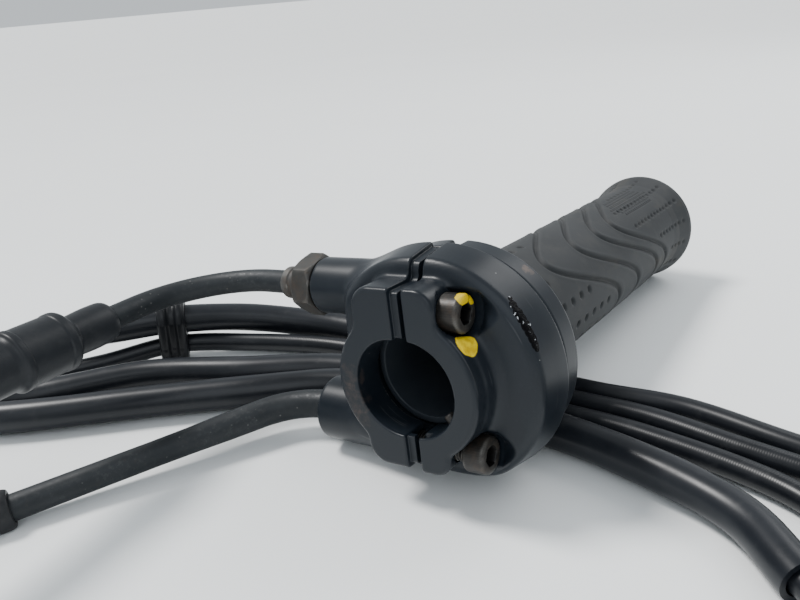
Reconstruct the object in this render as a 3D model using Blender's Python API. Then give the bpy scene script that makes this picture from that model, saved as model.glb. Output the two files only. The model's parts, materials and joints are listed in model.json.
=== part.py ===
"""Throttle grip for a 22.2 mm handlebar: a two-piece clamp and drum housing,
a twist tube with a rubber grip, and a pull and a return cable.

Frame: origin on the housing's inboard clamp face, level with the bar axis, which
runs 13.8 mm behind it. +X along the bar to the free end of the grip, +Y forward
(the side the cables leave), +Z up. Everything is modelled about the bar axis, in
millimetres, and hangs from one empty that sets this frame.
The clamp is drawn loosened: the rear half and its screws close along +Y.
"""
import bpy
import bmesh
import math
from mathutils import Matrix, Vector

MM = 0.001
Y_AXIS = Vector((0, 1, 0))
UP = Vector((0, 0, 1))

# --- driving dimensions, millimetres -----------------------------------------
# Clamp
BAR_R = 11.1                     # 22.2 mm handlebar
RING_R = 16.5                    # clamp ring
DATUM_Y = (BAR_R + RING_R) / 2   # the frame's origin: mid-width of the ring's face
CLAMP_LEN = 8.2                  # bar bore of the clamp
CLAMP_END = 11.0                 # outboard end of the ring and ears
RING_ARC_HALF = math.degrees(math.asin(0.78)) - 4   # ring seen between the ears
JOINT_FRONT = -0.15              # joint face of the front half
JOINT_REAR = -0.75               # joint face of the rear half, about its own bore centre
JOINT_OVERRUN = 3.0              # ears are drawn past the joint, then trimmed
OPENING = 2.9                    # how far the loosened rear half stands back
EAR_Y_FRONT, EAR_Y_REAR = 10.3, -7.9     # outer side faces of the clamp ears
EAR_TOP, EAR_BOTTOM = 22.6, -19.2
EAR_NECK_TOP, EAR_NECK_BOTTOM = 13.6, -12.9   # where the ears meet the ring

# Drum casing
DRUM_CASE_R = 28.0               # outside, at the edge of its wide band
BAND_END, STEP_R = 19.8, 26.2    # outboard of the band the casing steps down
CASE_END = 29.2                  # outboard edge of the casing
CASE_BORE_R = 14.0               # hole for the tube in the outboard wall
CAVITY_X = (13.0, 26.0)
CAVITY_FRONT_R = 19.2
CAVITY_REAR_R = 23.6             # leaves room for the pull wire as it is drawn in
RELIEF_R = 13.8                  # bore between the clamp and the cavity
FRONT_FLAT, UNDER_FLAT = 20.4, -25.6     # flats on the casing, in front and below

# Clamp screws
SCREW_X = 6.5
SCREW_HOLE_R = 2.75
HEAD_R, HEAD_LEN = 4.25, 5.0
SHANK_R, SHANK_LEN = 2.4, 16.0
SOCKET_R, SOCKET_HALF_FLATS, SOCKET_DEPTH = 2.05, 2.0, 2.6
SEAT_REAR = -7.2                 # spot-faced screw seats, about the rear half's centre
BACKED_OUT = 2.8                 # lower screw stands off its seat
# name, z, gap under the head, pocket depth beyond the head
SCREWS = [("upper", 16.2, 0.05, 1.4),
          ("lower", -15.6, BACKED_OUT, 0.6 + BACKED_OUT)]

# Cable lines, tangent to the wires' wrap on the drum
WRAP_R = 16.0
WIRE_R = 0.7
PULL_X, RETURN_X = 19.5, 15.5
PULL_LINE = (PULL_X, 0, WRAP_R)
RETURN_LINE = (RETURN_X, 0, -WRAP_R)

# Twist tube and grip
TUBE_IN, TUBE_OUT = 11.35, 13.0
TUBE_START, TUBE_END = CLAMP_END, 158.0
DRUM_START, DRUM_END, DRUM_R = 14.2, 22.0, 17.6
GROOVE_DEPTH, GROOVE_HALF = 0.85, 0.82   # below the wrap radius; half its width
FLANGE_R, FLANGE_X = 24.2, (30.0, 32.4)
GRIP_X, GRIP_R, GRIP_END_R = (32.8, 161.6), 16.8, 18.9
GRIP_BORE_R = TUBE_OUT + 0.2
NIPPLE_R = 2.3
POCKET_R = NIPPLE_R + 0.3

# Cables
CABLE_R = 3.0
SLEEVE_IN, SLEEVE_R = 3.6, 4.8
ELBOW_BORE = 1.3
PATH_SPACING = 17.0

# --- finishes ------------------------------------------------------------------
CAST = dict(colour=(0.030, 0.033, 0.038), rough=0.42)
NYLON = dict(colour=(0.022, 0.023, 0.025), rough=0.45)
RUBBER = dict(colour=(0.030, 0.030, 0.031), rough=0.75)
SHEATH = dict(colour=(0.012, 0.013, 0.015), rough=0.4)
DARK_STEEL = dict(colour=(0.11, 0.095, 0.08), rough=0.45, metal=0.8)
BLACK_STEEL = dict(colour=(0.025, 0.025, 0.027), rough=0.45, metal=0.4)
WORN_STEEL = dict(colour=(0.13, 0.12, 0.105), rough=0.5, metal=0.7)
WIRE = dict(colour=(0.45, 0.45, 0.44), rough=0.35, metal=1.0)
ZINC = dict(colour=(0.40, 0.40, 0.39), rough=0.4, metal=0.9)


for thing in list(bpy.data.objects):
    bpy.data.objects.remove(thing, do_unlink=True)


def material(name, colour, rough, metal=0.0):
    mat = bpy.data.materials.new(name)
    mat.use_nodes = True
    node = mat.node_tree.nodes["Principled BSDF"]
    node.inputs["Base Color"].default_value = (*colour, 1)
    node.inputs["Roughness"].default_value = rough
    node.inputs["Metallic"].default_value = metal
    return mat


# --- objects and Booleans --------------------------------------------------------
def add(name, bm, finish=None, smooth=True):
    """A mesh object from a bmesh in millimetres."""
    bmesh.ops.remove_doubles(bm, verts=bm.verts, dist=0.0005)
    bmesh.ops.recalc_face_normals(bm, faces=bm.faces)
    if bm.calc_volume(signed=True) < 0:
        bmesh.ops.reverse_faces(bm, faces=bm.faces)
    bmesh.ops.scale(bm, verts=bm.verts, vec=(MM, MM, MM))
    mesh = bpy.data.meshes.new(name)
    bm.to_mesh(mesh)
    bm.free()
    obj = bpy.data.objects.new(name, mesh)
    bpy.context.scene.collection.objects.link(obj)
    if finish:
        mesh.materials.append(material("mat_" + name, **finish))
    if smooth:
        mesh.shade_smooth()
        mesh.set_sharp_from_angle(angle=math.radians(35))
    return obj


def cut(target, bm, operation="DIFFERENCE"):
    """A Boolean with a bmesh, applied at once."""
    cutter = add("cutter", bm, smooth=False)
    mod = target.modifiers.new("cut", "BOOLEAN")
    mod.operation = operation
    mod.solver = "EXACT"
    mod.object = cutter
    bpy.context.view_layer.update()
    graph = bpy.context.evaluated_depsgraph_get()
    mesh = bpy.data.meshes.new_from_object(target.evaluated_get(graph))
    target.modifiers.remove(mod)
    old = target.data
    target.data = mesh
    mesh.name = target.name
    bpy.data.meshes.remove(old)
    bpy.data.objects.remove(cutter, do_unlink=True)


def join(target, bm):
    cut(target, bm, "UNION")


# --- solids ------------------------------------------------------------------------
def lathe(profile, segs, axis=(1, 0, 0), at=(0, 0, 0), phase=0.0):
    """A closed (along, radius) outline turned about an axis; radius 0 points close on it."""
    bm = bmesh.new()
    place = Matrix.Translation(at) @ UP.rotation_difference(Vector(axis)).to_matrix().to_4x4()
    rings = []
    for along, radius in profile:
        if radius < 1e-6:
            rings.append([bm.verts.new(place @ Vector((0, 0, along)))])
            continue
        angles = [phase + 2 * math.pi * k / segs for k in range(segs)]
        rings.append([bm.verts.new(place @ Vector((radius * math.cos(angle),
                                                   radius * math.sin(angle), along)))
                      for angle in angles])
    for i, this in enumerate(rings):
        following = rings[(i + 1) % len(rings)]
        if len(this) == 1 and len(following) == 1:
            continue
        for k in range(segs):
            n = (k + 1) % segs
            if len(this) == 1:
                bm.faces.new((this[0], following[k], following[n]))
            elif len(following) == 1:
                bm.faces.new((this[k], following[0], this[n]))
            else:
                bm.faces.new((this[k], following[k], following[n], this[n]))
    return bm


def rod(start, end, radius, segs, axis=Y_AXIS, at=(0, 0, 0), phase=0.0, chamfer=0.0):
    """A solid cylinder between two distances along its axis."""
    if chamfer:
        outline = [(start, 0), (start, radius - chamfer), (start + chamfer, radius),
                   (end - chamfer, radius), (end, radius - chamfer), (end, 0)]
    else:
        outline = [(start, 0), (start, radius), (end, radius), (end, 0)]
    return lathe(outline, segs, axis, at, phase)


def extrude_yz(outline, x0, x1):
    """A (y, z) outline pulled along X."""
    bm = bmesh.new()
    low = [bm.verts.new((x0, y, z)) for y, z in outline]
    high = [bm.verts.new((x1, y, z)) for y, z in outline]
    bm.faces.new(low)
    bm.faces.new(high[::-1])
    for i in range(len(low)):
        j = (i + 1) % len(low)
        bm.faces.new((low[i], high[i], high[j], low[j]))
    return bm


def trim_block(y0=-40, y1=40, z0=-40, z1=40):
    """A block that spans the whole housing except where a limit is given."""
    x0, x1 = -5, 40
    bm = bmesh.new()
    bmesh.ops.create_cube(bm, size=1)
    bmesh.ops.scale(bm, verts=bm.verts, vec=(x1 - x0, y1 - y0, z1 - z0))
    centre = ((x0 + x1) / 2, (y0 + y1) / 2, (z0 + z1) / 2)
    bmesh.ops.translate(bm, verts=bm.verts, vec=centre)
    return bm


def rounded(corners, steps=4):
    """A polygon of (y, z, radius) corners with each corner turned into an arc."""
    out = []
    for i, (y, z, radius) in enumerate(corners):
        if radius <= 0:
            out.append((y, z))
            continue
        corner = Vector((y, z))
        back = Vector(corners[i - 1][:2]) - corner
        ahead = Vector(corners[(i + 1) % len(corners)][:2]) - corner
        half_angle = back.angle(ahead) / 2
        # the arc takes at most 0.48 of either side
        reach = min(radius / math.tan(half_angle), back.length * 0.48, ahead.length * 0.48)
        fitted = reach * math.tan(half_angle)
        middle = (back.normalized() + ahead.normalized()).normalized()
        centre = corner + middle * (fitted / math.sin(half_angle))
        first = corner + back.normalized() * reach - centre
        last = corner + ahead.normalized() * reach - centre
        turn = first.angle_signed(last)
        for k in range(steps + 1):
            angle = -turn * k / steps
            out.append((centre.x + first.x * math.cos(angle) - first.y * math.sin(angle),
                        centre.y + first.x * math.sin(angle) + first.y * math.cos(angle)))
    return out


def skin(outer, inner=None):
    """Faces over rings of points: a capped bar, or a pipe when inner rings are given."""
    bm = bmesh.new()
    skins = [[[bm.verts.new(point) for point in ring] for ring in rings]
             for rings in (outer, inner) if rings]
    segs = len(outer[0])
    for flip, rings in enumerate(skins):
        for this, following in zip(rings, rings[1:]):
            for k in range(segs):
                n = (k + 1) % segs
                quad = (this[k], this[n], following[n], following[k])
                bm.faces.new(quad[::-1] if flip else quad)
    for end in (0, -1):
        rim = skins[0][end]
        if not inner:
            bm.faces.new(rim)
            continue
        bore = skins[1][end]
        for k in range(segs):
            n = (k + 1) % segs
            bm.faces.new((rim[k], bore[k], bore[n], rim[n]))
    return bm


def rings_on(points, radii, segs):
    """Rings of points on a path, one radius per path point. A ring's first corner
    stays next to +Z, so two sweeps on one path keep matching corners."""
    rings = []
    for i, point in enumerate(points):
        before = points[max(i - 1, 0)]
        after = points[min(i + 1, len(points) - 1)]
        way = (after - before).normalized()
        if 0 < i < len(points) - 1:
            way = ((point - before).normalized() + (after - point).normalized()).normalized()
        side = way.cross(UP).normalized()
        top = side.cross(way).normalized()
        angles = [2 * math.pi * (k + 0.5) / segs for k in range(segs)]
        rings.append([point + (top * math.cos(angle) + side * math.sin(angle)) * radii[i]
                      for angle in angles])
    return rings


def sweep(points, radii, segs, bore=0.0):
    """A round bar on a path, or a pipe when a bore radius is given."""
    inner = rings_on(points, [bore] * len(points), segs) if bore else None
    return skin(rings_on(points, radii, segs), inner)


def hex_nut(name, start, end, bore, corner, at, way):
    """A hexagon nut with a round bore; corner is its radius over the corners."""
    nut = add(name, rod(start, end, corner, 6, way, at, chamfer=0.4), ZINC, smooth=False)
    cut(nut, rod(start - 2.0, end + 2.0, bore, 14, way, at))


# --- paths -------------------------------------------------------------------------
def bend(start, radius, angle, tilt, length, steps, lead):
    """A lead along +Y, a bend towards -X (its plane tilted by tilt), then straight on.
    Returns the points and the final direction."""
    side = Vector((-math.cos(tilt), 0, math.sin(tilt)))
    base = Vector(start)
    points = [base - Y_AXIS * lead]
    for k in range(steps + 1):
        turn = angle * k / steps
        points.append(base + side * radius * (1 - math.cos(turn))
                      + Y_AXIS * radius * math.sin(turn))
    way = side * math.sin(angle) + Y_AXIS * math.cos(angle)
    points.append(points[-1] + way * length)
    return points, way


def blend(first, second, knot_first, knot_second, knot):
    span = knot_second - knot_first
    return first * ((knot_second - knot) / span) + second * ((knot - knot_first) / span)


def spline(points, spacing, substeps=12):
    """Centripetal Catmull-Rom through the points, then resampled about evenly."""
    pts = [points[0] * 2 - points[1]] + points + [points[-1] * 2 - points[-2]]
    fine = []
    for i in range(1, len(pts) - 2):
        controls = pts[i - 1:i + 3]
        knots = [0.0]
        for a, b in zip(controls, controls[1:]):
            knots.append(knots[-1] + (b - a).length ** 0.5)
        for k in range(substeps):
            knot = knots[1] + (knots[2] - knots[1]) * k / substeps
            level = controls
            for span in (1, 2):
                level = [blend(level[j], level[j + 1], knots[j], knots[j + span], knot)
                         for j in range(len(level) - 1)]
            fine.append(blend(level[0], level[1], knots[1], knots[2], knot))
    fine.append(pts[-2].copy())

    total = sum((b - a).length for a, b in zip(fine, fine[1:]))
    count = max(2, round(total / spacing))
    out = [fine[0]]
    wanted = total / count
    run = 0.0
    for a, b in zip(fine, fine[1:]):
        step = (b - a).length
        while run + step >= wanted - 1e-9 and len(out) < count:
            out.append(a.lerp(b, (wanted - run) / step))
            wanted += total / count
        run += step
    out.append(fine[-1])
    return out


def nearest_index(path, point):
    return min(range(len(path)), key=lambda i: (path[i] - point).length)


def crossing(path, at, way):
    """Where a path passes the plane through at, nearest to it."""
    found = []
    for a, b in zip(path, path[1:]):
        height_a, height_b = (a - at).dot(way), (b - at).dot(way)
        if height_a * height_b <= 0 and height_a != height_b:
            found.append(a.lerp(b, height_a / (height_a - height_b)))
    return min(found, key=lambda point: (point - at).length)


# --- housing halves ------------------------------------------------------------------
# Outside of the clamp's shoulder and the drum casing: x, radius
CASE = [(7.0, 0), (7.0, 16.4), (7.9, 17.4), (8.4, 19.0), (9.0, 24.4), (9.5, 25.9), (10.4, 26.6),
        (BAND_END - 0.7, DRUM_CASE_R), (BAND_END - 0.2, DRUM_CASE_R - 0.4), (BAND_END, STEP_R),
        (CASE_END - 0.6, STEP_R), (CASE_END, STEP_R - 0.6), (CASE_END, 0)]
CASE_SEGS = 56
# Cable bosses: line, outside radius, front end, chamfer, y of the socket's floor, socket radius
BOSSES = [(PULL_LINE, 7.15, 33.55, 0.6, 22.0, 4.6),
          (RETURN_LINE, 8.3, 33.05, 0.8, 20.0, 4.2)]
BOSS_ROOT = 8.0
WIRE_HOLE_START, WIRE_HOLE_R = 5.0, 1.6
SOCKET_OVERRUN = 40.0            # the socket cutters run out past the bosses

# Peg through the rear half into the bar bore, below and behind the bar
PEG_ANGLE = math.radians(233)
PEG_WAY = Vector((0, math.cos(PEG_ANGLE), math.sin(PEG_ANGLE)))
PEG_AT = (6.0, 0, 0)
PEG_SPAN, PEG_R = (8.9, 12.6), 1.2
PEG_HOLE_SPAN, PEG_HOLE_R = (6.0, 13.0), 1.5


def hollow(cavity_r):
    """The bar bore, drum cavity and outboard hole as one cutter."""
    inboard, outboard = CAVITY_X
    return lathe([(-1.0, 0), (-1.0, BAR_R), (CLAMP_LEN, BAR_R), (CLAMP_LEN, RELIEF_R),
                  (inboard, RELIEF_R), (inboard, 18.4), (inboard + 0.6, cavity_r),
                  (outboard, cavity_r), (outboard, CASE_BORE_R),
                  (CASE_END + 1, CASE_BORE_R), (CASE_END + 1, 0)], CASE_SEGS)


def clamp_outline(ear_y, facing):
    """Clamp outline of one half, from the joint face out round both ears."""
    joint = -JOINT_OVERRUN * facing
    top = [(joint, EAR_TOP, 0), (ear_y, EAR_TOP, 3.2), (ear_y, EAR_NECK_TOP, 2.4)]
    low = [(ear_y, EAR_NECK_BOTTOM, 2.4), (ear_y, EAR_BOTTOM, 3.6), (joint, EAR_BOTTOM, 0)]
    steps = 10
    angles = [math.radians(RING_ARC_HALF - 2 * RING_ARC_HALF * k / steps)
              for k in range(steps + 1)]
    arc = [(facing * RING_R * math.cos(angle), RING_R * math.sin(angle), 0) for angle in angles]
    return rounded(top + arc + low)


def housing_body(name, ear_y, facing):
    """Solid casing with one half's ears; facing is 1 for the front half, -1 for the rear."""
    body = add(name, lathe(CASE, CASE_SEGS), CAST)
    cut(body, trim_block(z1=UNDER_FLAT))
    if facing > 0:
        cut(body, trim_block(y0=FRONT_FLAT))
    join(body, extrude_yz(clamp_outline(ear_y, facing), 0.0, CLAMP_END))
    return body


def housing_front():
    body = housing_body("housing_front", EAR_Y_FRONT, 1)
    for line, radius, end, chamfer, _, _ in BOSSES:
        join(body, rod(BOSS_ROOT, end, radius, 20, at=line, chamfer=chamfer))
    cut(body, hollow(CAVITY_FRONT_R))
    for line, _, _, _, floor, socket_r in BOSSES:
        cut(body, lathe([(WIRE_HOLE_START, 0), (WIRE_HOLE_START, WIRE_HOLE_R),
                         (floor, WIRE_HOLE_R), (floor, socket_r),
                         (SOCKET_OVERRUN, socket_r), (SOCKET_OVERRUN, 0)], 14, Y_AXIS, line))
    for _, z, _, _ in SCREWS:
        cut(body, rod(-5.0, 20.0, SCREW_HOLE_R, 12, at=(SCREW_X, 0, z)))
    cut(body, trim_block(y1=JOINT_FRONT))


def housing_rear():
    body = housing_body("housing_rear", EAR_Y_REAR, -1)
    cut(body, hollow(CAVITY_REAR_R))
    pocket_r = HEAD_R + 0.6
    for _, z, _, depth in SCREWS:
        cut(body, rod(-20.0, 5.0, SCREW_HOLE_R, 12, at=(SCREW_X, 0, z)))
        # the head sits in a pocket that runs out over the casing's face
        mouth = SEAT_REAR - HEAD_LEN - depth
        cut(body, lathe([(mouth - 4.4, 0), (mouth - 4.4, 2.2), (mouth, pocket_r),
                         (SEAT_REAR, pocket_r), (SEAT_REAR, 0)], 20, Y_AXIS, (SCREW_X, 0, z)))
    cut(body, rod(*PEG_HOLE_SPAN, PEG_HOLE_R, 12, PEG_WAY, PEG_AT))
    cut(body, trim_block(y0=JOINT_REAR))
    body.location = (0, -OPENING * MM, 0)


housing_front()
housing_rear()

peg = add("locating_peg", rod(*PEG_SPAN, PEG_R, 12, PEG_WAY, PEG_AT, chamfer=0.3), DARK_STEEL)
peg.location = (0, -OPENING * MM, 0)


# --- clamp screws --------------------------------------------------------------------
def cap_screw(name, seat, z):
    """Socket cap screw, head towards -Y; seat is the underside of its head."""
    top = seat - HEAD_LEN
    tip = seat + SHANK_LEN
    floor = top + SOCKET_DEPTH
    bm = lathe([(top, SOCKET_R), (top, HEAD_R - 0.35), (top + 0.35, HEAD_R), (seat, HEAD_R),
                (seat, SHANK_R), (tip - 0.6, SHANK_R), (tip, SHANK_R - 0.6), (tip, 0),
                (floor, 0), (floor, SOCKET_R)], 24, Y_AXIS, (SCREW_X, 0, z))
    # the socket is a hexagon: its rings of corners are drawn onto one
    for vert in bm.verts:
        dx, dz = vert.co.x - SCREW_X, vert.co.z - z
        radius = math.hypot(dx, dz)
        if abs(radius - SOCKET_R) < 1e-3:
            off_flat = math.atan2(dz, dx) % (math.pi / 3) - math.pi / 6
            stretch = SOCKET_HALF_FLATS / math.cos(off_flat) / radius
            vert.co.x, vert.co.z = SCREW_X + dx * stretch, z + dz * stretch
    add(name, bm, DARK_STEEL)


for name, z, gap, _ in SCREWS:
    cap_screw("clamp_screw_" + name, SEAT_REAR - OPENING - gap, z)


# --- twist tube and grip -------------------------------------------------------------
# Cable ends in the drum: name, x of the groove, angle from +Y about the bar,
# x span of the pocket and of the nipple from the groove
DRUM_ENDS = [("pull", PULL_X, math.radians(132), (-2.2, 3.0), (-1.9, 2.7)),
             ("return", RETURN_X, math.radians(160), (-3.0, 2.2), (-0.9, 1.9))]


def on_wrap(angle, x=0.0):
    """A point on the wires' wrap circle."""
    return Vector((x, WRAP_R * math.cos(angle), WRAP_R * math.sin(angle)))


def tube_profile():
    """Twist tube with its grooved drum and flange: x, radius."""
    drum = [(DRUM_START, TUBE_OUT), (DRUM_START, DRUM_R - 0.2), (DRUM_START + 0.15, DRUM_R)]
    floor = WRAP_R - GROOVE_DEPTH
    for x in (RETURN_X, PULL_X):
        drum += [(x - GROOVE_HALF, DRUM_R), (x - GROOVE_HALF, floor),
                 (x + GROOVE_HALF, floor), (x + GROOVE_HALF, DRUM_R)]
    drum += [(DRUM_END - 0.4, DRUM_R), (DRUM_END, DRUM_R - 0.4), (DRUM_END, TUBE_OUT)]
    inboard, outboard = FLANGE_X
    flange = [(inboard, TUBE_OUT), (inboard, FLANGE_R - 0.8), (inboard + 0.8, FLANGE_R),
              (outboard - 0.9, FLANGE_R), (outboard, FLANGE_R - 1.2), (outboard, TUBE_OUT)]
    return ([(TUBE_START, TUBE_IN), (TUBE_START, TUBE_OUT)] + drum + flange
            + [(TUBE_END, TUBE_OUT), (TUBE_END, TUBE_IN)])


tube = add("throttle_tube", lathe(tube_profile(), 40), NYLON)
for _, x, angle, (low, high), _ in DRUM_ENDS:
    # pocket for the cable end, open to the drum's rim
    cut(tube, rod(x + low, x + high, POCKET_R, 12, (1, 0, 0), on_wrap(angle)))

# Rubber grip, closed over the tube's outboard end: x, radius
GRIP = [(GRIP_X[0], GRIP_BORE_R), (GRIP_X[0], GRIP_R - 0.5), (GRIP_X[0] + 0.6, GRIP_R),
        (147.0, GRIP_R), (152.0, GRIP_R + 0.6), (156.0, GRIP_R + 1.5), (158.6, GRIP_END_R),
        (160.6, GRIP_END_R - 0.3), (GRIP_X[1], GRIP_END_R - 1.3), (GRIP_X[1], TUBE_IN),
        (TUBE_END + 0.3, TUBE_IN), (TUBE_END + 0.3, GRIP_BORE_R)]
add("grip_rubber", lathe(GRIP, 40), RUBBER)


# --- inner wires at the drum ---------------------------------------------------------
LINE_GAP = math.radians(2.2)     # between a wrapped wire and its straight run
POCKET_ANGLE = math.asin(POCKET_R / 2 / WRAP_R) * 2


def arc_wire(name, x, start, end, steps):
    """Wire lying in the drum's groove; its rings turn with the drum."""
    rings = []
    for i in range(steps + 1):
        point = on_wrap(start + (end - start) * i / steps, x)
        out = Vector((0, point.y, point.z)).normalized()
        rings.append([point + (out * math.cos(math.pi * k / 3)
                               + Vector((1, 0, 0)) * math.sin(math.pi * k / 3)) * WIRE_R
                      for k in range(6)])
    add(name, skin(rings), WIRE)


pull_angle, return_angle = DRUM_ENDS[0][2], DRUM_ENDS[1][2]
arc_wire("pull_wire_wrap", PULL_X, math.radians(90) + LINE_GAP, pull_angle - POCKET_ANGLE, 5)
arc_wire("return_wire_wrap", RETURN_X, return_angle + POCKET_ANGLE,
         math.radians(270) - LINE_GAP, 10)
for name, x, angle, _, (low, high) in DRUM_ENDS:
    add(name + "_drum_nipple",
        rod(x + low, x + high, NIPPLE_R, 12, (1, 0, 0), on_wrap(angle), chamfer=0.3), ZINC)
# Straight runs: name, first and last y, line
for name, start, end, line in (("pull", 5.0, 52.0, PULL_LINE),
                               ("return", 0.6, 16.0, RETURN_LINE)):
    add(name + "_wire_straight", rod(start, end, WIRE_R, 6, at=line), WIRE)


# --- pull side: elbow, nut, collar, adjuster, boot -------------------------------------
PULL_TUBE_R = 3.1
PULL_FITTING_BORE = 3.4
NUT_HALF_FLATS = 7.0
# y, radius
PULL_COLLAR = [(40.1, 3.4), (40.1, 3.95), (40.35, 4.2), (44.65, 4.2), (44.9, 3.95), (44.9, 3.4)]
# The next three: distance past the elbow's tip, radius
ADJUSTER_SCREW = [(-14.0, 3.4), (-14.0, 4.0), (12.0, 4.0), (12.0, 1.3), (0.4, 1.3), (0.4, 3.4)]
ADJUSTER_BARREL = [(-6.6, 4.3), (-6.6, 5.4), (22.0, 5.4), (22.0, 3.4), (12.6, 3.4), (12.6, 4.3)]
BOOT = [(-27.4, 3.4), (-27.4, 4.5), (-26.6, 4.9), (-19.6, 4.9), (-18.4, 6.4), (-17.4, 6.8),
        (0.4, 6.8), (1.6, 6.2), (42.0, 6.2), (43.0, 5.0), (43.0, 3.3), (23.0, 3.3),
        (23.0, 5.7), (-16.0, 5.7), (-18.0, 4.4), (-18.0, 3.4)]

pull_elbow, pull_way = bend(start=(PULL_X, 53.6, WRAP_R), radius=24.5, angle=math.radians(95),
                            tilt=math.radians(-2.4), length=36.0, steps=12, lead=28.0)
pull_tip = pull_elbow[-1]
add("pull_elbow_tube", sweep(pull_elbow, [PULL_TUBE_R] * len(pull_elbow), 12, ELBOW_BORE),
    BLACK_STEEL)

elbow_nut = add("pull_elbow_nut", rod(33.9, 39.8, NUT_HALF_FLATS / math.cos(math.pi / 6), 6,
                                      at=PULL_LINE, phase=0.2, chamfer=0.5),
                WORN_STEEL, smooth=False)
# a round stub behind the hexagon reaches into the boss
join(elbow_nut, rod(24.5, 35.0, 4.2, 14, at=PULL_LINE))
cut(elbow_nut, rod(20.0, 50.0, PULL_FITTING_BORE, 14, at=PULL_LINE))
add("pull_elbow_collar", lathe(PULL_COLLAR, 16, Y_AXIS, PULL_LINE), WORN_STEEL)

add("adjuster_screw", lathe(ADJUSTER_SCREW, 14, pull_way, pull_tip), ZINC)
hex_nut("adjuster_locknut", -10.0, -7.0, bore=4.3, corner=5.45, at=pull_tip, way=pull_way)
add("adjuster_barrel", lathe(ADJUSTER_BARREL, 14, pull_way, pull_tip), ZINC)
add("adjuster_boot", lathe(BOOT, 20, pull_way, pull_tip), RUBBER)


# --- return side: elbow, collar and end cap ----------------------------------------------
RETURN_BEND_R, RETURN_RUN_R = 3.8, 3.3   # tube outside, in the bend and on the straight
RETURN_TAPER = 16.0
# y, radius
RETURN_COLLAR = [(33.35, 4.1), (33.35, 5.2), (34.9, 5.2), (35.35, 4.7), (35.35, 4.1)]
# distance past the elbow's tip, radius
RETURN_CAP = [(-9.0, 3.6), (-9.0, 4.4), (-8.2, 5.0), (8.0, 5.0), (9.5, 4.3), (9.5, 3.5),
              (0.4, 3.5), (0.4, 3.6)]

return_elbow, return_way = bend(start=(RETURN_X, 34.5, -WRAP_R), radius=19.0,
                                angle=math.radians(62.45), tilt=math.radians(-4.5),
                                length=76.45, steps=10, lead=14.0)
return_tip = return_elbow[-1]
# the tube tapers from its thick bent end to the straight run
thick = return_elbow[:-1]
return_tube = thick + [thick[-1] + return_way * RETURN_TAPER, return_tip]
add("return_elbow_tube",
    sweep(return_tube, [RETURN_BEND_R] * len(thick) + [RETURN_RUN_R] * 2, 12, ELBOW_BORE),
    BLACK_STEEL)
add("return_elbow_collar", lathe(RETURN_COLLAR, 18, Y_AXIS, RETURN_LINE), BLACK_STEEL)
add("return_cable_cap", lathe(RETURN_CAP, 16, return_way, return_tip), RUBBER)


# --- outer cables ----------------------------------------------------------------------
# Stations on the table from the elbows to the far ends: x, y, lift
PULL_STATIONS = [
    (-172, 112, 2), (-176, 146, 0), (-150, 176, 0), (-106, 190, 2), (-62, 185, 9),
    (-36, 174, 9), (-8, 150, 11), (12, 127, 10.6), (27, 113, 10.6), (44, 98.5, 7.5),
    (56, 82, 4), (62.5, 62, 2), (62, 20, 0), (61.5, -19, 0), (63.5, -42, 0), (58, -69, 0),
    (54, -95, 0), (59, -130, 0), (50, -172, 0), (14, -196, 0), (-26, -178, 0), (-34, -140, 0),
    (-10, -100, 0), (12, -76, 1.8), (25, -63, 1.8), (34, -36, 1.8), (37.5, -10, 1.6),
    (38, 20, 0.5), (30, 46, 1.8), (16, 66, 1.8), (-2, 89, 1.8), (-29, 122, 1.8),
    (-50, 160, 1), (-62, 195, 3), (-70, 222, 4)]
RETURN_STATIONS = [
    (-98, 105, 0.6), (-124, 120, 0), (-132, 143, 0), (-112, 166, 0), (-74, 172, 7),
    (-38, 158, 9), (-20, 149, 4), (-6, 140, 0), (9, 128, 0), (27, 113, 2), (42, 92, 0.5),
    (53, 62, 0), (54, 20, 0), (54.5, -15, 0), (55, -36, 0), (51, -60, 0), (46, -100, 0),
    (47, -130, 0), (34, -162, 0), (8, -172, 0), (-16, -155, 0), (-18, -128, 0), (2, -104, 0),
    (26, -87, 0), (39, -72, 0), (46.5, -38, 0), (47, -15, 0), (46, 15, 0), (38.5, 50, 1.8),
    (25, 75, 1.8), (9, 103, 1.8), (-19.5, 128, 1.8), (-36, 160, 1), (-47, 196, 3),
    (-53, 224, 4)]


def table(x, y):
    """Height of the table the cables rest on, below the part and slightly tilted to it."""
    return -27.4 + 0.068 * (x - 24.6) + 0.0963 * y


def lay(x, y, lift=0.0):
    """Centre of a cable lying on the table, or lifted off it."""
    return Vector((x, y, table(x, y) + CABLE_R + lift))


def off_tip(tip, way, distances):
    return [tip + way * distance for distance in distances]


pull_start = off_tip(pull_tip, pull_way, (12.8, 22.0, 44.0, 66.0))
pull_start[-1] += Vector((-1, 3, -7))    # the cable begins to sag here
return_start = off_tip(return_tip, return_way, (0.8, 10.0, 18.8))
pull_path = spline(pull_start + [lay(*row) for row in PULL_STATIONS], PATH_SPACING)
return_path = spline(return_start + [lay(*row) for row in RETURN_STATIONS], PATH_SPACING)
for name, path in (("pull", pull_path), ("return", return_path)):
    add(name + "_cable_outer", sweep(path, [CABLE_R] * len(path), 8), SHEATH)

# Loose protective pipes: name, path, and the x, y, lift near which each begins and ends
SLEEVES = [("pull_cable_sleeve_near", pull_path, (10, 130, 8), (62.5, 48, 1)),
           ("pull_cable_sleeve_mid", pull_path, (12, -76, 0), (37, -14, 0)),
           ("pull_cable_sleeve_far", pull_path, (32, 44, 0), (-31, 124, 0)),
           ("return_cable_sleeve", return_path, (41, 42, 0), (-21, 129, 0))]
for name, path, begin, end in SLEEVES:
    # on the cable's own path points
    first, last = sorted(nearest_index(path, lay(*station)) for station in (begin, end))
    part = path[first:last + 1]
    add(name, sweep(part, [SLEEVE_R] * len(part), 8, SLEEVE_IN), SHEATH)


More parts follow.
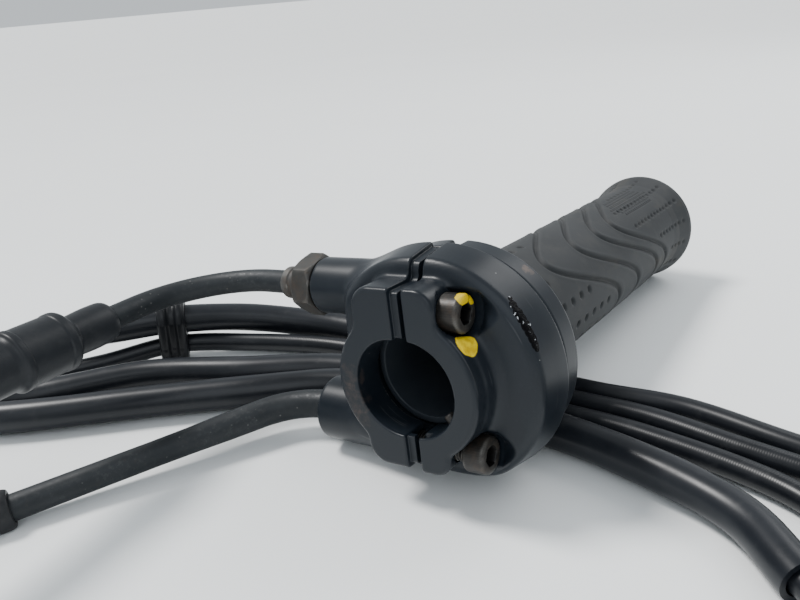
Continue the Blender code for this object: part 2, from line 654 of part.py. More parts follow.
# --- cable grommet -----------------------------------------------------------------------
GROMMET_STATION = (27, 113, 10.6)    # x, y, lift of the pull cable there
GROMMET_HALF = 4.0
GROMMET_PULL_R, GROMMET_RETURN_R = 7.6, 5.2
GROMMET_PULL_BORE, GROMMET_RETURN_BORE = 5.3, 3.4


def hull_of(circles, half_length, way):
    """A block round several (centre, radius) circles that lie in the plane across way."""
    bm = bmesh.new()
    side = way.cross(UP).normalized()
    top = side.cross(way).normalized()
    for centre, radius in circles:
        for shift in (-half_length, half_length):
            for k in range(20):
                angle = math.pi * k / 10
                bm.verts.new(centre + way * shift
                             + (side * math.cos(angle) + top * math.sin(angle)) * radius)
    bmesh.ops.convex_hull(bm, input=bm.verts)
    loose = [vert for vert in bm.verts if not vert.link_faces]
    bmesh.ops.delete(bm, geom=loose, context="VERTS")
    return bm


def cable_grommet():
    """Rubber guide that holds the sleeved pull cable over the return cable."""
    i = nearest_index(pull_path, lay(*GROMMET_STATION))
    way = (pull_path[i + 1] - pull_path[i]).normalized()
    upper = pull_path[i].lerp(pull_path[i + 1], 0.5)
    lower = crossing(return_path, upper, way)
    block = hull_of([(upper, GROMMET_PULL_R), (lower, GROMMET_RETURN_R)], GROMMET_HALF, way)
    guide = add("cable_grommet", block, RUBBER, smooth=False)
    cut(guide, rod(-8, 8, GROMMET_PULL_BORE, 16, way, upper))
    lower_way = (crossing(return_path, upper + way * GROMMET_HALF, way)
                 - crossing(return_path, upper - way * GROMMET_HALF, way)).normalized()
    cut(guide, rod(-9, 9, GROMMET_RETURN_BORE, 14, lower_way, lower))


cable_grommet()


# --- engine-side ends of both cables -------------------------------------------------------
# Ferrule on the sheath and its thinner anchor: distance past the sheath's end, radius
FERRULE = [(-10.0, 3.4), (-10.0, 4.3), (2.0, 4.3), (2.0, 3.9), (22.0, 3.9), (22.0, 1.3),
           (0.4, 1.3), (0.4, 3.4)]
END_NUTS = (("a", 6.0), ("b", 13.0))     # tag, start past the sheath's end
END_NUT_LEN = 4.5
END_NIPPLE_R, END_NIPPLE_HALF, END_NIPPLE_OFFSET = 3.0, 3.5, 3.3


def cable_end(prefix, path, wire_from, wire_to):
    """Ferrule and anchor with two nuts, inner wire and its crosswise nipple."""
    end = path[-1]
    way = (path[-1] - path[-2]).normalized()
    add(prefix + "_end_ferrule", lathe(FERRULE, 14, way, end), ZINC)
    for tag, start in END_NUTS:
        hex_nut(prefix + "_end_nut_" + tag, start, start + END_NUT_LEN,
                bore=4.2, corner=6.9, at=end, way=way)
    add(prefix + "_end_wire", rod(wire_from, wire_to, WIRE_R, 6, way, end), WIRE)
    nipple_at = end + way * (wire_to + END_NIPPLE_OFFSET)
    across = way.cross(UP).normalized()
    add(prefix + "_end_nipple", rod(-END_NIPPLE_HALF, END_NIPPLE_HALF, END_NIPPLE_R, 14,
                                    across, nipple_at, chamfer=0.3), ZINC)


cable_end("pull", pull_path, wire_from=21.6, wire_to=49.0)
cable_end("return", return_path, wire_from=0.8, wire_to=33.0)

# --- frame -----------------------------------------------------------------------------------
bar_axis = bpy.data.objects.new("bar_axis", None)
bpy.context.scene.collection.objects.link(bar_axis)
bar_axis.location = (0, -DATUM_Y * MM, 0)
for thing in bpy.data.objects:
    if thing != bar_axis:
        thing.parent = bar_axis
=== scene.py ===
import json
import math

import bmesh
import bpy
import numpy as np
from mathutils import Matrix, Vector


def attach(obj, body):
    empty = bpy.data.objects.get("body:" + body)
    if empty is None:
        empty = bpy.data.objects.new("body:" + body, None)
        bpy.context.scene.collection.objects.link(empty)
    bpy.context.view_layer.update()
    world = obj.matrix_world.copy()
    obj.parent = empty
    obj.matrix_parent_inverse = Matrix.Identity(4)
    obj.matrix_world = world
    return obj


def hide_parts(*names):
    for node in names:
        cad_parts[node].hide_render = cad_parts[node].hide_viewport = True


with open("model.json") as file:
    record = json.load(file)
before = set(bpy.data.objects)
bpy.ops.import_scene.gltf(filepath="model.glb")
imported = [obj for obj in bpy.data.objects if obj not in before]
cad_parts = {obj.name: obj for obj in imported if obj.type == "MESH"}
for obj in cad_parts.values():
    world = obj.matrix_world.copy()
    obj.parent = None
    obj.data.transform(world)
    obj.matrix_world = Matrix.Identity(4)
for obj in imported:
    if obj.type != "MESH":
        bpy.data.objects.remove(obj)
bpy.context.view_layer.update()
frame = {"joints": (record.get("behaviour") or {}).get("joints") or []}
MM = 0.001
X_AXIS, Y_AXIS, Z_AXIS = (1, 0, 0), (0, 1, 0), (0, 0, 1)

# ---------------------------------------------------------------------------
# shared dimensions
DATUM_Y = 13.8                         # y of the frame's origin, seen from the bar axis
OPENING = 2.9                          # the rear half stands this far off, towards -Y
SCREW_X, SCREW_Z = 6.5, (16.2, -15.6)  # clamp screws, upper and lower
SEAT = -7.2                            # y of the screw seats with the halves closed
HEAD = 5.0                             # height of a screw head
UPPER_GAP, LOWER_GAP = 0.05, 2.8       # between seat and screw head
PEG_X = 6.0                            # peg in the bore of the rear half
PEG_WAY = (0, math.cos(math.radians(233)), math.sin(math.radians(233)))
PULL_X, PULL_Z = 19.5, 16.0            # where each cable leaves the housing, along +Y
RETURN_X, RETURN_Z = 15.5, -16.0
DRUM_R = 16                            # radius at which the wires lie on the drum
TUBE_BORE = 11.35
GRIP_R = 16.8                          # plain part of the grip
CABLE_R = 3.0


def table(x, y):
    """Height of the sloping table top."""
    return -27.4 + 0.068 * (x - 24.6) + 0.0963 * y


# ---------------------------------------------------------------------------
# material helper
class Shader:
    """A material built node by node. Its coordinates are metres about the bar axis."""

    INPUTS = {"color": "Base Color", "rough": "Roughness", "metal": "Metallic",
              "spec": "Specular IOR Level", "normal": "Normal"}

    def __init__(self, name):
        self.material = bpy.data.materials.new(name)
        self.material.use_nodes = True
        self.tree = self.material.node_tree
        place = self.new("ShaderNodeTexCoord").outputs["Object"]
        self.coord = self.vector("ADD", place, (0, DATUM_Y * MM, 0))

    def new(self, kind, **props):
        node = self.tree.nodes.new(kind)
        for key, value in props.items():
            setattr(node, key, value)
        return node

    def link(self, source, socket):
        self.tree.links.new(source, socket)

    def put(self, socket, value):
        """Links a socket, or sets a number or a colour."""
        if hasattr(value, "is_output"):
            self.link(value, socket)
        elif hasattr(value, "__len__") and len(value) == 3 and socket.type == "RGBA":
            socket.default_value = (*value, 1)
        else:
            socket.default_value = value

    def math(self, operation, first, second):
        node = self.new("ShaderNodeMath", operation=operation)
        self.put(node.inputs[0], first)
        self.put(node.inputs[1], second)
        return node.outputs[0]

    def times(self, first, second):
        return self.math("MULTIPLY", first, second)

    def add(self, first, second):
        return self.math("ADD", first, second)

    def inverse(self, mask):
        return self.math("SUBTRACT", 1.0, mask)

    def vector(self, operation, source, amount=None):
        node = self.new("ShaderNodeVectorMath", operation=operation)
        self.link(source, node.inputs[0])
        if amount is not None:
            node.inputs[1].default_value = amount
        return node.outputs["Value" if operation == "LENGTH" else "Vector"]

    def x_of(self, source):
        node = self.new("ShaderNodeSeparateXYZ")
        self.link(source, node.inputs[0])
        return node.outputs["X"]

    def geometry(self, output):
        return self.new("ShaderNodeNewGeometry").outputs[output]

    def noise(self, scale, detail=4, rough=0.55, distortion=0, stretch=None):
        coord = self.coord
        if stretch:
            mapping = self.new("ShaderNodeMapping")
            self.link(coord, mapping.inputs[0])
            mapping.inputs["Scale"].default_value = stretch
            coord = mapping.outputs[0]
        node = self.new("ShaderNodeTexNoise")
        self.link(coord, node.inputs["Vector"])
        node.inputs["Scale"].default_value = scale
        node.inputs["Detail"].default_value = detail
        node.inputs["Roughness"].default_value = rough
        node.inputs["Distortion"].default_value = distortion
        return node.outputs["Fac"]

    def voronoi(self, scale):
        node = self.new("ShaderNodeTexVoronoi")
        self.link(self.coord, node.inputs["Vector"])
        node.inputs["Scale"].default_value = scale
        return node.outputs["Distance"]

    def ramp(self, source, at, levels=(0, 1)):
        """Grey ramp that has the given levels at the given places."""
        node = self.new("ShaderNodeValToRGB")
        stops = node.color_ramp.elements
        while len(stops) < len(at):
            stops.new(0.5)
        for i, (position, level) in enumerate(zip(at, levels)):
            stops[i].position = position
            stops[i].color = (level, level, level, 1)
        self.link(source, node.inputs[0])
        return node.outputs[0]

    def blend(self, kind, mask, first, second):
        node = self.new("ShaderNodeMix", data_type=kind)
        self.put(node.inputs["Factor"], mask)
        wanted = "VALUE" if kind == "FLOAT" else kind
        ends = [s for s in node.inputs if s.type == wanted and s.name in ("A", "B")]
        self.put(ends[0], first)
        self.put(ends[1], second)
        return [s for s in node.outputs if s.type == wanted][0]

    def mix(self, mask, first, second):
        return self.blend("RGBA", mask, first, second)

    def lerp(self, mask, start, end):
        return self.blend("FLOAT", mask, start, end)

    def tones(self, source, at, dark, pale):
        """Two colours mottled by a noise."""
        return self.mix(self.ramp(source, at), dark, pale)

    def stain(self, base, mask, colour, amount=None):
        """Lays a colour over the base where the mask is high."""
        if amount is not None:
            mask = self.times(mask, amount)
        return self.mix(mask, base, colour)

    def bump(self, height, strength, dist, normal=None):
        """dist is in metres."""
        node = self.new("ShaderNodeBump")
        self.link(height, node.inputs["Height"])
        node.inputs["Strength"].default_value = strength
        node.inputs["Distance"].default_value = dist
        if normal:
            self.link(normal, node.inputs["Normal"])
        return node.outputs[0]

    def spot(self, at, radius, warp=0, scale=(1, 1, 1)):
        """1 inside a spot about a point (mm), 0 outside, its edge warped by noise."""
        offset = self.vector("SUBTRACT", self.coord, [p * MM for p in at])
        far = self.vector("LENGTH", self.vector("MULTIPLY", offset, scale))
        far = self.math("DIVIDE", far, radius * MM)
        if warp:
            wander = self.math("SUBTRACT", self.noise(scale=420, detail=3), 0.5)
            far = self.add(far, self.times(wander, warp))
        return self.ramp(far, at=(0, 0.93, 1), levels=(1, 1, 0))

    def edges(self, at):
        """Convex edges, from the mesh's pointiness."""
        return self.ramp(self.geometry("Pointiness"), at)

    def set(self, **looks):
        surface = self.tree.nodes["Principled BSDF"]
        for key, value in looks.items():
            self.put(surface.inputs[self.INPUTS[key]], value)
        return self.material


# ---------------------------------------------------------------------------
# materials
# brown scuffs on the cast paint: place, radius, strength, colour
SCUFFS = (((0.0, 12.6, 1.4), 3.2, 0.30, (0.075, 0.055, 0.045)),
          ((0.0, 12.9, -5.0), 4.0, 0.35, (0.075, 0.055, 0.045)),
          ((0.0, 11.5, -9.0), 2.6, 0.3, (0.07, 0.05, 0.04)),
          ((26.4, -19.4, 20.2), 1.6, 0.5, (0.15, 0.10, 0.075)))
# grease streak on the rear half's shoulder: x, y, z, radius
GREASE = ((11.9, -22.8, 18.5, 0.75), (11.4, -23.7, 17.4, 1.15), (11.1, -24.7, 15.9, 1.35),
          (11.0, -25.6, 14.7, 1.4), (11.0, -26.4, 13.3, 1.4), (10.9, -27.1, 12.0, 1.3),
          (10.9, -27.7, 10.7, 1.25), (10.8, -28.2, 9.4, 1.1), (10.8, -28.5, 8.6, 0.8))


def cast_paint(name):
    """Dark paint shared by the cast halves; gives the shader and its looks."""
    mat = Shader(name)
    big = mat.noise(scale=60, rough=0.6)
    fine = mat.noise(scale=900, rough=0.6)
    base = mat.tones(big, at=(0.35, 0.7), dark=(0.0055, 0.0085, 0.0125),
                     pale=(0.0095, 0.013, 0.018))
    base = mat.stain(base, mat.ramp(fine, at=(0.55, 0.75), levels=(0, 0.3)),
                     colour=(0.015, 0.018, 0.022))
    # rubbed paint on the flat face at x = 0, where the normal points to -X
    x = mat.x_of(mat.coord)
    facing = mat.times(mat.x_of(mat.geometry("Normal")), -1.0)
    face = mat.times(mat.ramp(facing, at=(0.80, 0.97)),
                     mat.ramp(x, at=(0, 0.0008, 0.0016), levels=(1, 1, 0)))
    base = mat.stain(base, face, colour=(0.013, 0.016, 0.020), amount=0.75)
    # painted shade: by position, the groove round the case is darkened near black
    far = mat.vector("LENGTH", mat.vector("MULTIPLY", mat.coord, (0, 1, 1)))
    groove = mat.times(
        mat.ramp(x, at=(0.0195, 0.0198, 0.0226, 0.0230), levels=(0, 1, 1, 0)),
        mat.ramp(far, at=(0.0240, 0.0262, 0.0272), levels=(1, 1, 0)))
    base = mat.stain(base, groove, colour=(0.001, 0.001, 0.0015), amount=0.9)
    # pale rim on the band edge at the groove's -X side: rubbed paint and a painted highlight
    # along that edge
    rim = mat.times(
        mat.ramp(x, at=(0.0186, 0.0190, 0.0194, 0.0196), levels=(0, 1, 1, 0)),
        mat.ramp(far, at=(0.0272, 0.0278)))
    base = mat.stain(base, rim, colour=(0.075, 0.080, 0.086), amount=0.5)
    rough = mat.lerp(mat.ramp(big, at=(0.3, 0.7)), start=0.30, end=0.42)
    rough = mat.lerp(face, rough, end=0.52)
    # worn edges
    worn = mat.times(mat.edges(at=(0.505, 0.60)),
                     mat.ramp(mat.noise(scale=260, detail=5, rough=0.7), at=(0.52, 0.66)))
    base = mat.stain(base, worn, colour=(0.10, 0.10, 0.10), amount=0.12)
    for place, radius, strength, colour in SCUFFS:
        patchy = mat.ramp(mat.noise(scale=500, rough=0.7), at=(0.42, 0.62),
                          levels=(0, strength))
        base = mat.stain(base, mat.times(mat.spot(place, radius, warp=1.1), patchy), colour)
    # pale dust nicks
    nicks = mat.times(mat.ramp(mat.voronoi(scale=330), at=(0, 0.035, 0.06), levels=(1, 1, 0)),
                      mat.ramp(mat.noise(scale=95, detail=2), at=(0.60, 0.64)))
    base = mat.stain(base, nicks, colour=(0.35, 0.35, 0.34), amount=0.6)
    # hairline scratches
    lines = mat.noise(scale=55, detail=2, rough=0.5, distortion=0.4, stretch=(26, 1, 1))
    scratches = mat.times(mat.ramp(lines, at=(0.655, 0.67)),
                          mat.ramp(mat.noise(scale=70, detail=2), at=(0.48, 0.56),
                                   levels=(0, 0.5)))
    base = mat.stain(base, scratches, colour=(0.14, 0.14, 0.145), amount=0.35)
    height = mat.add(mat.times(mat.voronoi(scale=1500), 0.5), mat.times(fine, 0.8))
    normal = mat.bump(height, strength=0.05, dist=0.00005)
    return mat, dict(color=base, rough=rough, metal=mat.times(worn, 0.10), normal=normal)


def front_paint():
    mat, looks = cast_paint("housing_front_paint")
    return mat.set(**looks, spec=0.26)


def rear_paint():
    mat, looks = cast_paint("housing_rear_paint")
    # dab of yellow marking paint under the upper screw
    dab = mat.spot(at=(4.3, -15.7, 10.35), radius=2.75, warp=0.35)
    yellow = mat.tones(mat.noise(scale=700, detail=3), at=(0.35, 0.62),
                       dark=(0.60, 0.38, 0.0), pale=(0.86, 0.63, 0.0))
    base = mat.mix(dab, looks["color"], yellow)
    rough = mat.lerp(dab, looks["rough"], end=0.6)
    metal = mat.times(looks["metal"], mat.inverse(dab))
    # black grease with a wet shine from low roughness, and painted glints in its colour
    spots = [mat.spot(at=row[:3], radius=row[3], warp=0.5) for row in GREASE]
    grease = spots[0]
    for spot in spots[1:]:
        grease = mat.math("MAXIMUM", grease, spot)
    # painted glints: noise flecks that turn the black grease pale bluish grey
    glint = mat.times(
        mat.ramp(mat.noise(scale=1500, detail=2, rough=0.5), at=(0.60, 0.66)),
        mat.ramp(mat.noise(scale=420, detail=2, rough=0.5), at=(0.50, 0.56)))
    black = mat.mix(glint, first=(0.001, 0.001, 0.0015), second=(0.55, 0.57, 0.60))
    dry = looks["normal"]
    wet = mat.bump(mat.noise(scale=900, rough=0.7), strength=0.9, dist=0.0003, normal=dry)
    return mat.set(color=mat.mix(grease, base, black), rough=mat.lerp(grease, rough, end=0.16),
                   metal=metal, spec=mat.lerp(grease, start=0.26, end=0.07),
                   normal=mat.blend("VECTOR", grease, dry, wet))


def tube_nylon():
    mat = Shader("tube_nylon_face")
    big = mat.noise(scale=70, rough=0.6)
    base = mat.tones(big, at=(0.3, 0.7), dark=(0.020, 0.026, 0.034), pale=(0.030, 0.037, 0.045))
    patchy = mat.ramp(mat.noise(scale=300, detail=5, rough=0.7), at=(0.40, 0.62),
                      levels=(0.1, 1))
    worn = mat.times(mat.edges(at=(0.505, 0.57)), patchy)
    base = mat.stain(base, worn, colour=(0.05, 0.05, 0.05), amount=0.15)
    # two brown marks on the flange
    for place, radius in (((30.0, -17.5, 17.8), 1.5), ((29.4, -8.5, 23.6), 1.9)):
        base = mat.stain(base, mat.spot(place, radius, warp=1.2),
                         colour=(0.24, 0.165, 0.12), amount=0.8)
    return mat.set(color=base, rough=mat.lerp(big, start=0.36, end=0.52), spec=0.3,
                   normal=mat.bump(mat.noise(scale=900), strength=0.15, dist=0.0001))


def rubber(name, dark, pale, dust, rough):
    mat = Shader(name)
    big = mat.noise(scale=45, detail=5, rough=0.6)
    fine = mat.noise(scale=1400, detail=3, rough=0.6)
    base = mat.tones(big, at=(0.32, 0.72), dark=dark, pale=pale)
    dusty = mat.ramp(mat.noise(scale=150, detail=6, rough=0.72), at=(0.50, 0.78))
    base = mat.stain(base, dusty, colour=(0.055, 0.055, 0.053), amount=dust)
    normal = mat.bump(mat.add(fine, mat.times(big, 0.4)), strength=0.22, dist=0.00010)
    return mat.set(color=base, rough=mat.lerp(big, *rough), normal=normal, spec=0.24)


def grip_face():
    """Rubber with painted shade that makes it near black in the hollows, and paler on the crests.
    """
    mat = Shader("grip_rubber_face")
    big = mat.noise(scale=38, detail=5, rough=0.6)
    fine = mat.noise(scale=1700, detail=3, rough=0.6)
    base = mat.tones(big, at=(0.30, 0.72), dark=(0.024, 0.026, 0.028), pale=(0.038, 0.040, 0.042))
    pointiness = mat.geometry("Pointiness")
    # painted shade: where pointiness is low, in the hollows, the rubber is darkened near black
    base = mat.stain(base, mat.ramp(pointiness, at=(0.42, 0.495), levels=(1, 0)),
                     colour=(0.0035, 0.004, 0.0045), amount=0.92)
    base = mat.stain(base, mat.ramp(pointiness, at=(0.505, 0.56)),
                     colour=(0.070, 0.072, 0.073), amount=0.35)
    dusty = mat.ramp(mat.noise(scale=130, detail=6, rough=0.72), at=(0.50, 0.80))
    base = mat.stain(base, dusty, colour=(0.068, 0.066, 0.060), amount=0.45)
    streaks = mat.noise(scale=90, detail=3, rough=0.6, stretch=(0.35, 1, 1))
    base = mat.stain(base, mat.ramp(streaks, at=(0.60, 0.74)),
                     colour=(0.075, 0.066, 0.050), amount=0.30)
    normal = mat.bump(mat.add(fine, mat.times(big, 0.3)), strength=0.25, dist=0.00010)
    return mat.set(color=base, rough=mat.lerp(big, start=0.58, end=0.78), normal=normal,
                   spec=0.24)


def sheath_face(name, dark=(0.0045, 0.0055, 0.0075), pale=(0.010, 0.0115, 0.015), ribbed=False):
    """Cable skin; the ribs follow the UV map, whose u is millimetres along the cable."""
    mat = Shader(name)
    big = mat.noise(scale=55, rough=0.6)
    base = mat.tones(big, at=(0.3, 0.75), dark=dark, pale=pale)
    dusty = mat.ramp(mat.noise(scale=210, detail=6, rough=0.75), at=(0.54, 0.80))
    dust = mat.times(dusty, 0.35)
    base = mat.stain(base, dust, colour=(0.040, 0.041, 0.043))
    rough = mat.lerp(mat.lerp(big, start=0.26, end=0.40).node.inputs[0].links[0].from_socket
                     if False else dust, mat.lerp(big, start=0.26, end=0.40), end=0.7)
    height = mat.noise(scale=800, detail=3, rough=0.6)
    if ribbed:
        wave = mat.new("ShaderNodeTexWave")
        mat.link(mat.new("ShaderNodeUVMap").outputs[0], wave.inputs["Vector"])
        wave.inputs["Scale"].default_value = 0.55
        height = mat.add(mat.times(wave.outputs["Fac"], 1.0), mat.times(height, 0.25))
    return mat.set(color=base, rough=rough, spec=0.30,
                   normal=mat.bump(height, strength=0.12, dist=0.00006))


def worn_metal(name, dark, pale, metal, rust, rough=(0.32, 0.55), wear=(0.30, 0.29, 0.27),
               bump=0.2, scale=1.0):
    """Metal with worn edges and rust; gives the shader and its looks."""
    mat = Shader(name)
    big = mat.noise(scale=120 * scale, detail=5, rough=0.65)
    fine = mat.noise(scale=1100 * scale, rough=0.65)
    base = mat.tones(big, at=(0.32, 0.70), dark=dark, pale=pale)
    worn = mat.times(mat.edges(at=(0.505, 0.58)),
                     mat.ramp(mat.noise(scale=420), at=(0.36, 0.6), levels=(0.2, 1)))
    base = mat.stain(base, worn, colour=wear, amount=0.7)
    rusty = mat.ramp(mat.noise(scale=330 * scale, detail=6, rough=0.75), at=(0.47, 0.66))
    rusty = mat.times(rusty, rust)
    return mat, dict(color=mat.stain(base, rusty, colour=(0.105, 0.060, 0.032)),
                     rough=mat.lerp(rusty, mat.lerp(big, *rough), end=0.8),
                     metal=mat.lerp(rusty, metal, end=0.15),
                     normal=mat.bump(mat.add(fine, big), strength=bump, dist=0.00010))


def screw_steel(name, seat, z, painted):
    mat, looks = worn_metal(name, dark=(0.012, 0.0115, 0.011), pale=(0.034, 0.031, 0.028),
                            metal=0.5, rust=0.22, rough=(0.30, 0.48),
                            wear=(0.17, 0.165, 0.15), bump=0.15)
    # painted shade: near black down the hexagon socket; the same cylinder about the screw axis
    # also darkens the thread roots and the shank's end
    socket = mat.spot(at=(SCREW_X, seat - HEAD, z), radius=2.4, scale=(1, 0, 1))
    base = mat.stain(looks["color"], socket, colour=(0.004, 0.004, 0.004), amount=0.9)
    if painted:  # yellow marking paint on the head
        top = seat - 5.2
        dab = mat.math("MAXIMUM",
                       mat.spot(at=(SCREW_X - 0.2, top, z + 3.6), radius=2.0, warp=0.9),
                       mat.spot(at=(SCREW_X + 2.6, top, z + 2.3), radius=1.3, warp=0.8))
        base = mat.stain(base, dab, colour=(0.66, 0.46, 0.0))
        looks["metal"] = mat.times(mat.inverse(dab), looks["metal"])
    looks["color"] = base
    return mat.set(**looks, spec=0.4)


def peg_steel():
    mat, looks = worn_metal("peg_steel", dark=(0.018, 0.018, 0.018), pale=(0.038, 0.037, 0.035),
                            metal=0.6, rust=0.2, wear=(0.10, 0.10, 0.095))
    return mat.set(**looks)


def nut_plate():
    mat, looks = worn_metal("elbow_nut_plate", dark=(0.019, 0.019, 0.018),
                            pale=(0.046, 0.045, 0.042), metal=0.3, rust=0.28,
                            rough=(0.40, 0.62), wear=(0.13, 0.125, 0.115), bump=0.22, scale=0.8)
    return mat.set(**looks, spec=0.4)


def collar_plate():
    mat, looks = worn_metal("collar_plate", dark=(0.018, 0.018, 0.0175),
                            pale=(0.045, 0.044, 0.042), metal=0.3, rust=0.3,
                            rough=(0.45, 0.7), bump=0.35)
    return mat.set(**looks)


def zinc(name):
    mat, looks = worn_metal(name, dark=(0.30, 0.30, 0.29), pale=(0.45, 0.44, 0.42), metal=0.9,
                            rust=0.12, rough=(0.28, 0.5), wear=(0.6, 0.6, 0.58), bump=0.15)
    return mat.set(**looks)


def black_paint(name):
    """Black paint over steel, scuffed grey and speckled."""
    mat = Shader(name)
    big = mat.noise(scale=70, rough=0.6)
    fine = mat.noise(scale=700, detail=5, rough=0.7)
    base = mat.tones(big, at=(0.3, 0.7), dark=(0.010, 0.0125, 0.015), pale=(0.019, 0.022, 0.025))
    rub = mat.times(mat.ramp(fine, at=(0.50, 0.72)),
                    mat.ramp(big, at=(0.40, 0.65), levels=(0.15, 0.75)))
    base = mat.stain(base, rub, colour=(0.052, 0.055, 0.056))
    specks = mat.times(mat.ramp(mat.voronoi(scale=620), at=(0, 0.10, 0.17), levels=(1, 1, 0)),
                       mat.ramp(mat.noise(scale=160, detail=3), at=(0.50, 0.60)))
    base = mat.stain(base, specks, colour=(0.16, 0.155, 0.145), amount=0.45)
    rust = mat.ramp(mat.noise(scale=260, detail=6, rough=0.75), at=(0.60, 0.72))
    base = mat.stain(base, mat.times(rust, 0.5), colour=(0.050, 0.038, 0.030), amount=0.5)
    rough = mat.lerp(mat.ramp(fine, at=(0.4, 0.7)), start=0.42, end=0.68)
    height = mat.math("SUBTRACT", fine, mat.times(specks, 0.5))
    return mat.set(color=base, rough=rough, metal=0.10, spec=0.30,
                   normal=mat.bump(height, strength=0.25, dist=0.00012))


def strand_steel(name):
    mat = Shader(name)
    fine = mat.noise(scale=900, detail=3)
    base = mat.mix(fine, first=(0.36, 0.35, 0.33), second=(0.58, 0.57, 0.55))
    return mat.set(color=base, rough=mat.lerp(fine, start=0.28, end=0.45), metal=1.0,
                   normal=mat.bump(fine, strength=0.2, dist=0.00005))


def table_top():
    mat = Shader("pale_table")
    cloud = mat.noise(scale=6, detail=5, rough=0.6)
    base = mat.mix(cloud, first=(0.84, 0.86, 0.86), second=(0.88, 0.90, 0.90))
    return mat.set(color=base, rough=0.6, spec=0.25)


# ---------------------------------------------------------------------------
# objects (millimetres in, metres out)
def add_object(name, data):
    obj = bpy.data.objects.new(name, data)
    bpy.context.scene.collection.objects.link(obj)
    return obj


def add_piece(name, replaced, mesh, body):
    obj = add_object(name, mesh)
    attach(obj, body)
    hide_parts(replaced)


def to_metres(verts):
    return (np.asarray(verts, float) - (0, DATUM_Y, 0)) * MM


def solid(name, replaced, shape, material, body="housing", sharp=40, uv=None):
    """Piece from (vertices, faces), turned outside out; uv has one pair per vertex."""
    verts, faces = shape
    mesh = bpy.data.meshes.new(name)
    mesh.from_pydata(to_metres(verts).tolist(), [], faces)
    mesh.update()
    bm = bmesh.new()
    bm.from_mesh(mesh)
    bmesh.ops.recalc_face_normals(bm, faces=bm.faces)
    if bm.calc_volume(signed=True) < 0:
        bmesh.ops.reverse_faces(bm, faces=bm.faces)
    bm.to_mesh(mesh)
    bm.free()
    mesh.materials.append(material)
    mesh.shade_smooth()
    if sharp:
        mesh.set_sharp_from_angle(angle=math.radians(sharp))
    if uv is not None:
        corners = np.empty(len(mesh.loops), np.int32)
        mesh.loops.foreach_get("vertex_index", corners)
        layer = mesh.uv_layers.new(name="UVMap")
        layer.data.foreach_set("uv", uv[corners].astype(np.float32).ravel())
    add_piece(name, replaced, mesh, body)


def dense(name, replaced, shape, material, body="housing"):
    """Fast path for big meshes of (vertices, quads, normals) that already face out."""
    verts, quads, normals = shape
    mesh = bpy.data.meshes.new(name)
    quads = np.asarray(quads, np.int32)
    mesh.vertices.add(len(verts))
    mesh.vertices.foreach_set("co", to_metres(verts).astype(np.float32).ravel())
    mesh.loops.add(quads.size)
    mesh.loops.foreach_set("vertex_index", quads.ravel())
    mesh.polygons.add(len(quads))
    mesh.polygons.foreach_set("loop_start", np.arange(0, quads.size, 4, dtype=np.int32))
    mesh.update(calc_edges=True)
    mesh.validate()
    mesh.materials.append(material)
    mesh.shade_smooth()
    if normals is not None:
        mesh.normals_split_custom_set_from_vertices(normals.astype(np.float32).tolist())
    add_piece(name, replaced, mesh, body)


# ---------------------------------------------------------------------------
# turned and swept shapes; each gives (vertices, faces)
def basis(way, up=Z_AXIS):
    """Unit vectors along, beside and above a direction."""
    along = np.array(way, float)
    along /= np.linalg.norm(along)
    up = np.array(up, float)
    if abs(along @ up) > 0.95:
        up = np.array(X_AXIS, float)
    side = np.cross(along, up)
    side /= np.linalg.norm(side)
    return along, side, np.cross(side, along)


def turned(ring):
    """The same ring started one point later."""
    return ring[1:] + ring[:1]


def join(first, second):
    """Faces between two rings."""
    return list(zip(first, second, turned(second), turned(first)))


def lathe(profile, segs, way=X_AXIS, at=(0, 0, 0), closed=True, shape=None):
    """Turns a profile of (along, radius); shape(theta, along, radius) may change the radius."""
    axis, side, top = basis(way)
    at = np.array(at, float)
    theta = np.linspace(0, 2 * np.pi, segs, endpoint=False)
    verts, rings, faces = [], [], []
    for along, radius in profile:
        if radius < 1e-6:
            rings.append([len(verts)] * segs)
            verts.append(at + axis * along)
            continue
        radii = np.array([shape(t, along, radius) if shape else radius for t in theta])
        rings.append(list(range(len(verts), len(verts) + segs)))
        verts.extend(at + axis * along + np.outer(np.cos(theta) * radii, side)
                     + np.outer(np.sin(theta) * radii, top))
    for first, second in zip(rings, turned(rings) if closed else rings[1:]):
        # faces at a pole lose their repeated corner
        corners = [tuple(dict.fromkeys(face)) for face in join(first, second)]
        faces += [face for face in corners if len(face) > 2]
    return np.array(verts), faces


def soften(points, radius, steps=4):
    """Rounds the corners of a closed (along, radius) outline, by a point's third value if any."""
    out = []
    for i, point in enumerate(points):
        rounding = point[2] if len(point) > 2 else radius
        corner = np.array(point[:2], float)
        back = np.array(points[i - 1][:2], float) - corner
        ahead = np.array(points[(i + 1) % len(points)][:2], float) - corner
        back_len, ahead_len = np.linalg.norm(back), np.linalg.norm(ahead)
        if rounding <= 0 or back_len < 1e-6 or ahead_len < 1e-6 or point[1] < 1e-6:
            out.append(tuple(corner))
            continue
        reach = min(rounding, back_len * 0.45, ahead_len * 0.45)
        start = corner + back / back_len * reach
        end = corner + ahead / ahead_len * reach
        for k in range(steps + 1):
            t = k / steps
            out.append(tuple((1 - t) ** 2 * start + 2 * t * (1 - t) * corner + t * t * end))
    return out


def distances(path):
    """Length along the path at each of its points."""
    return np.r_[0, np.cumsum(np.linalg.norm(np.diff(path, axis=0), axis=1))]


def resample(path, spacing):
    dist = distances(path)
    even = np.linspace(0, dist[-1], max(3, int(round(dist[-1] / spacing)) + 1))
    return np.stack([np.interp(even, dist, path[:, k]) for k in range(3)], -1)


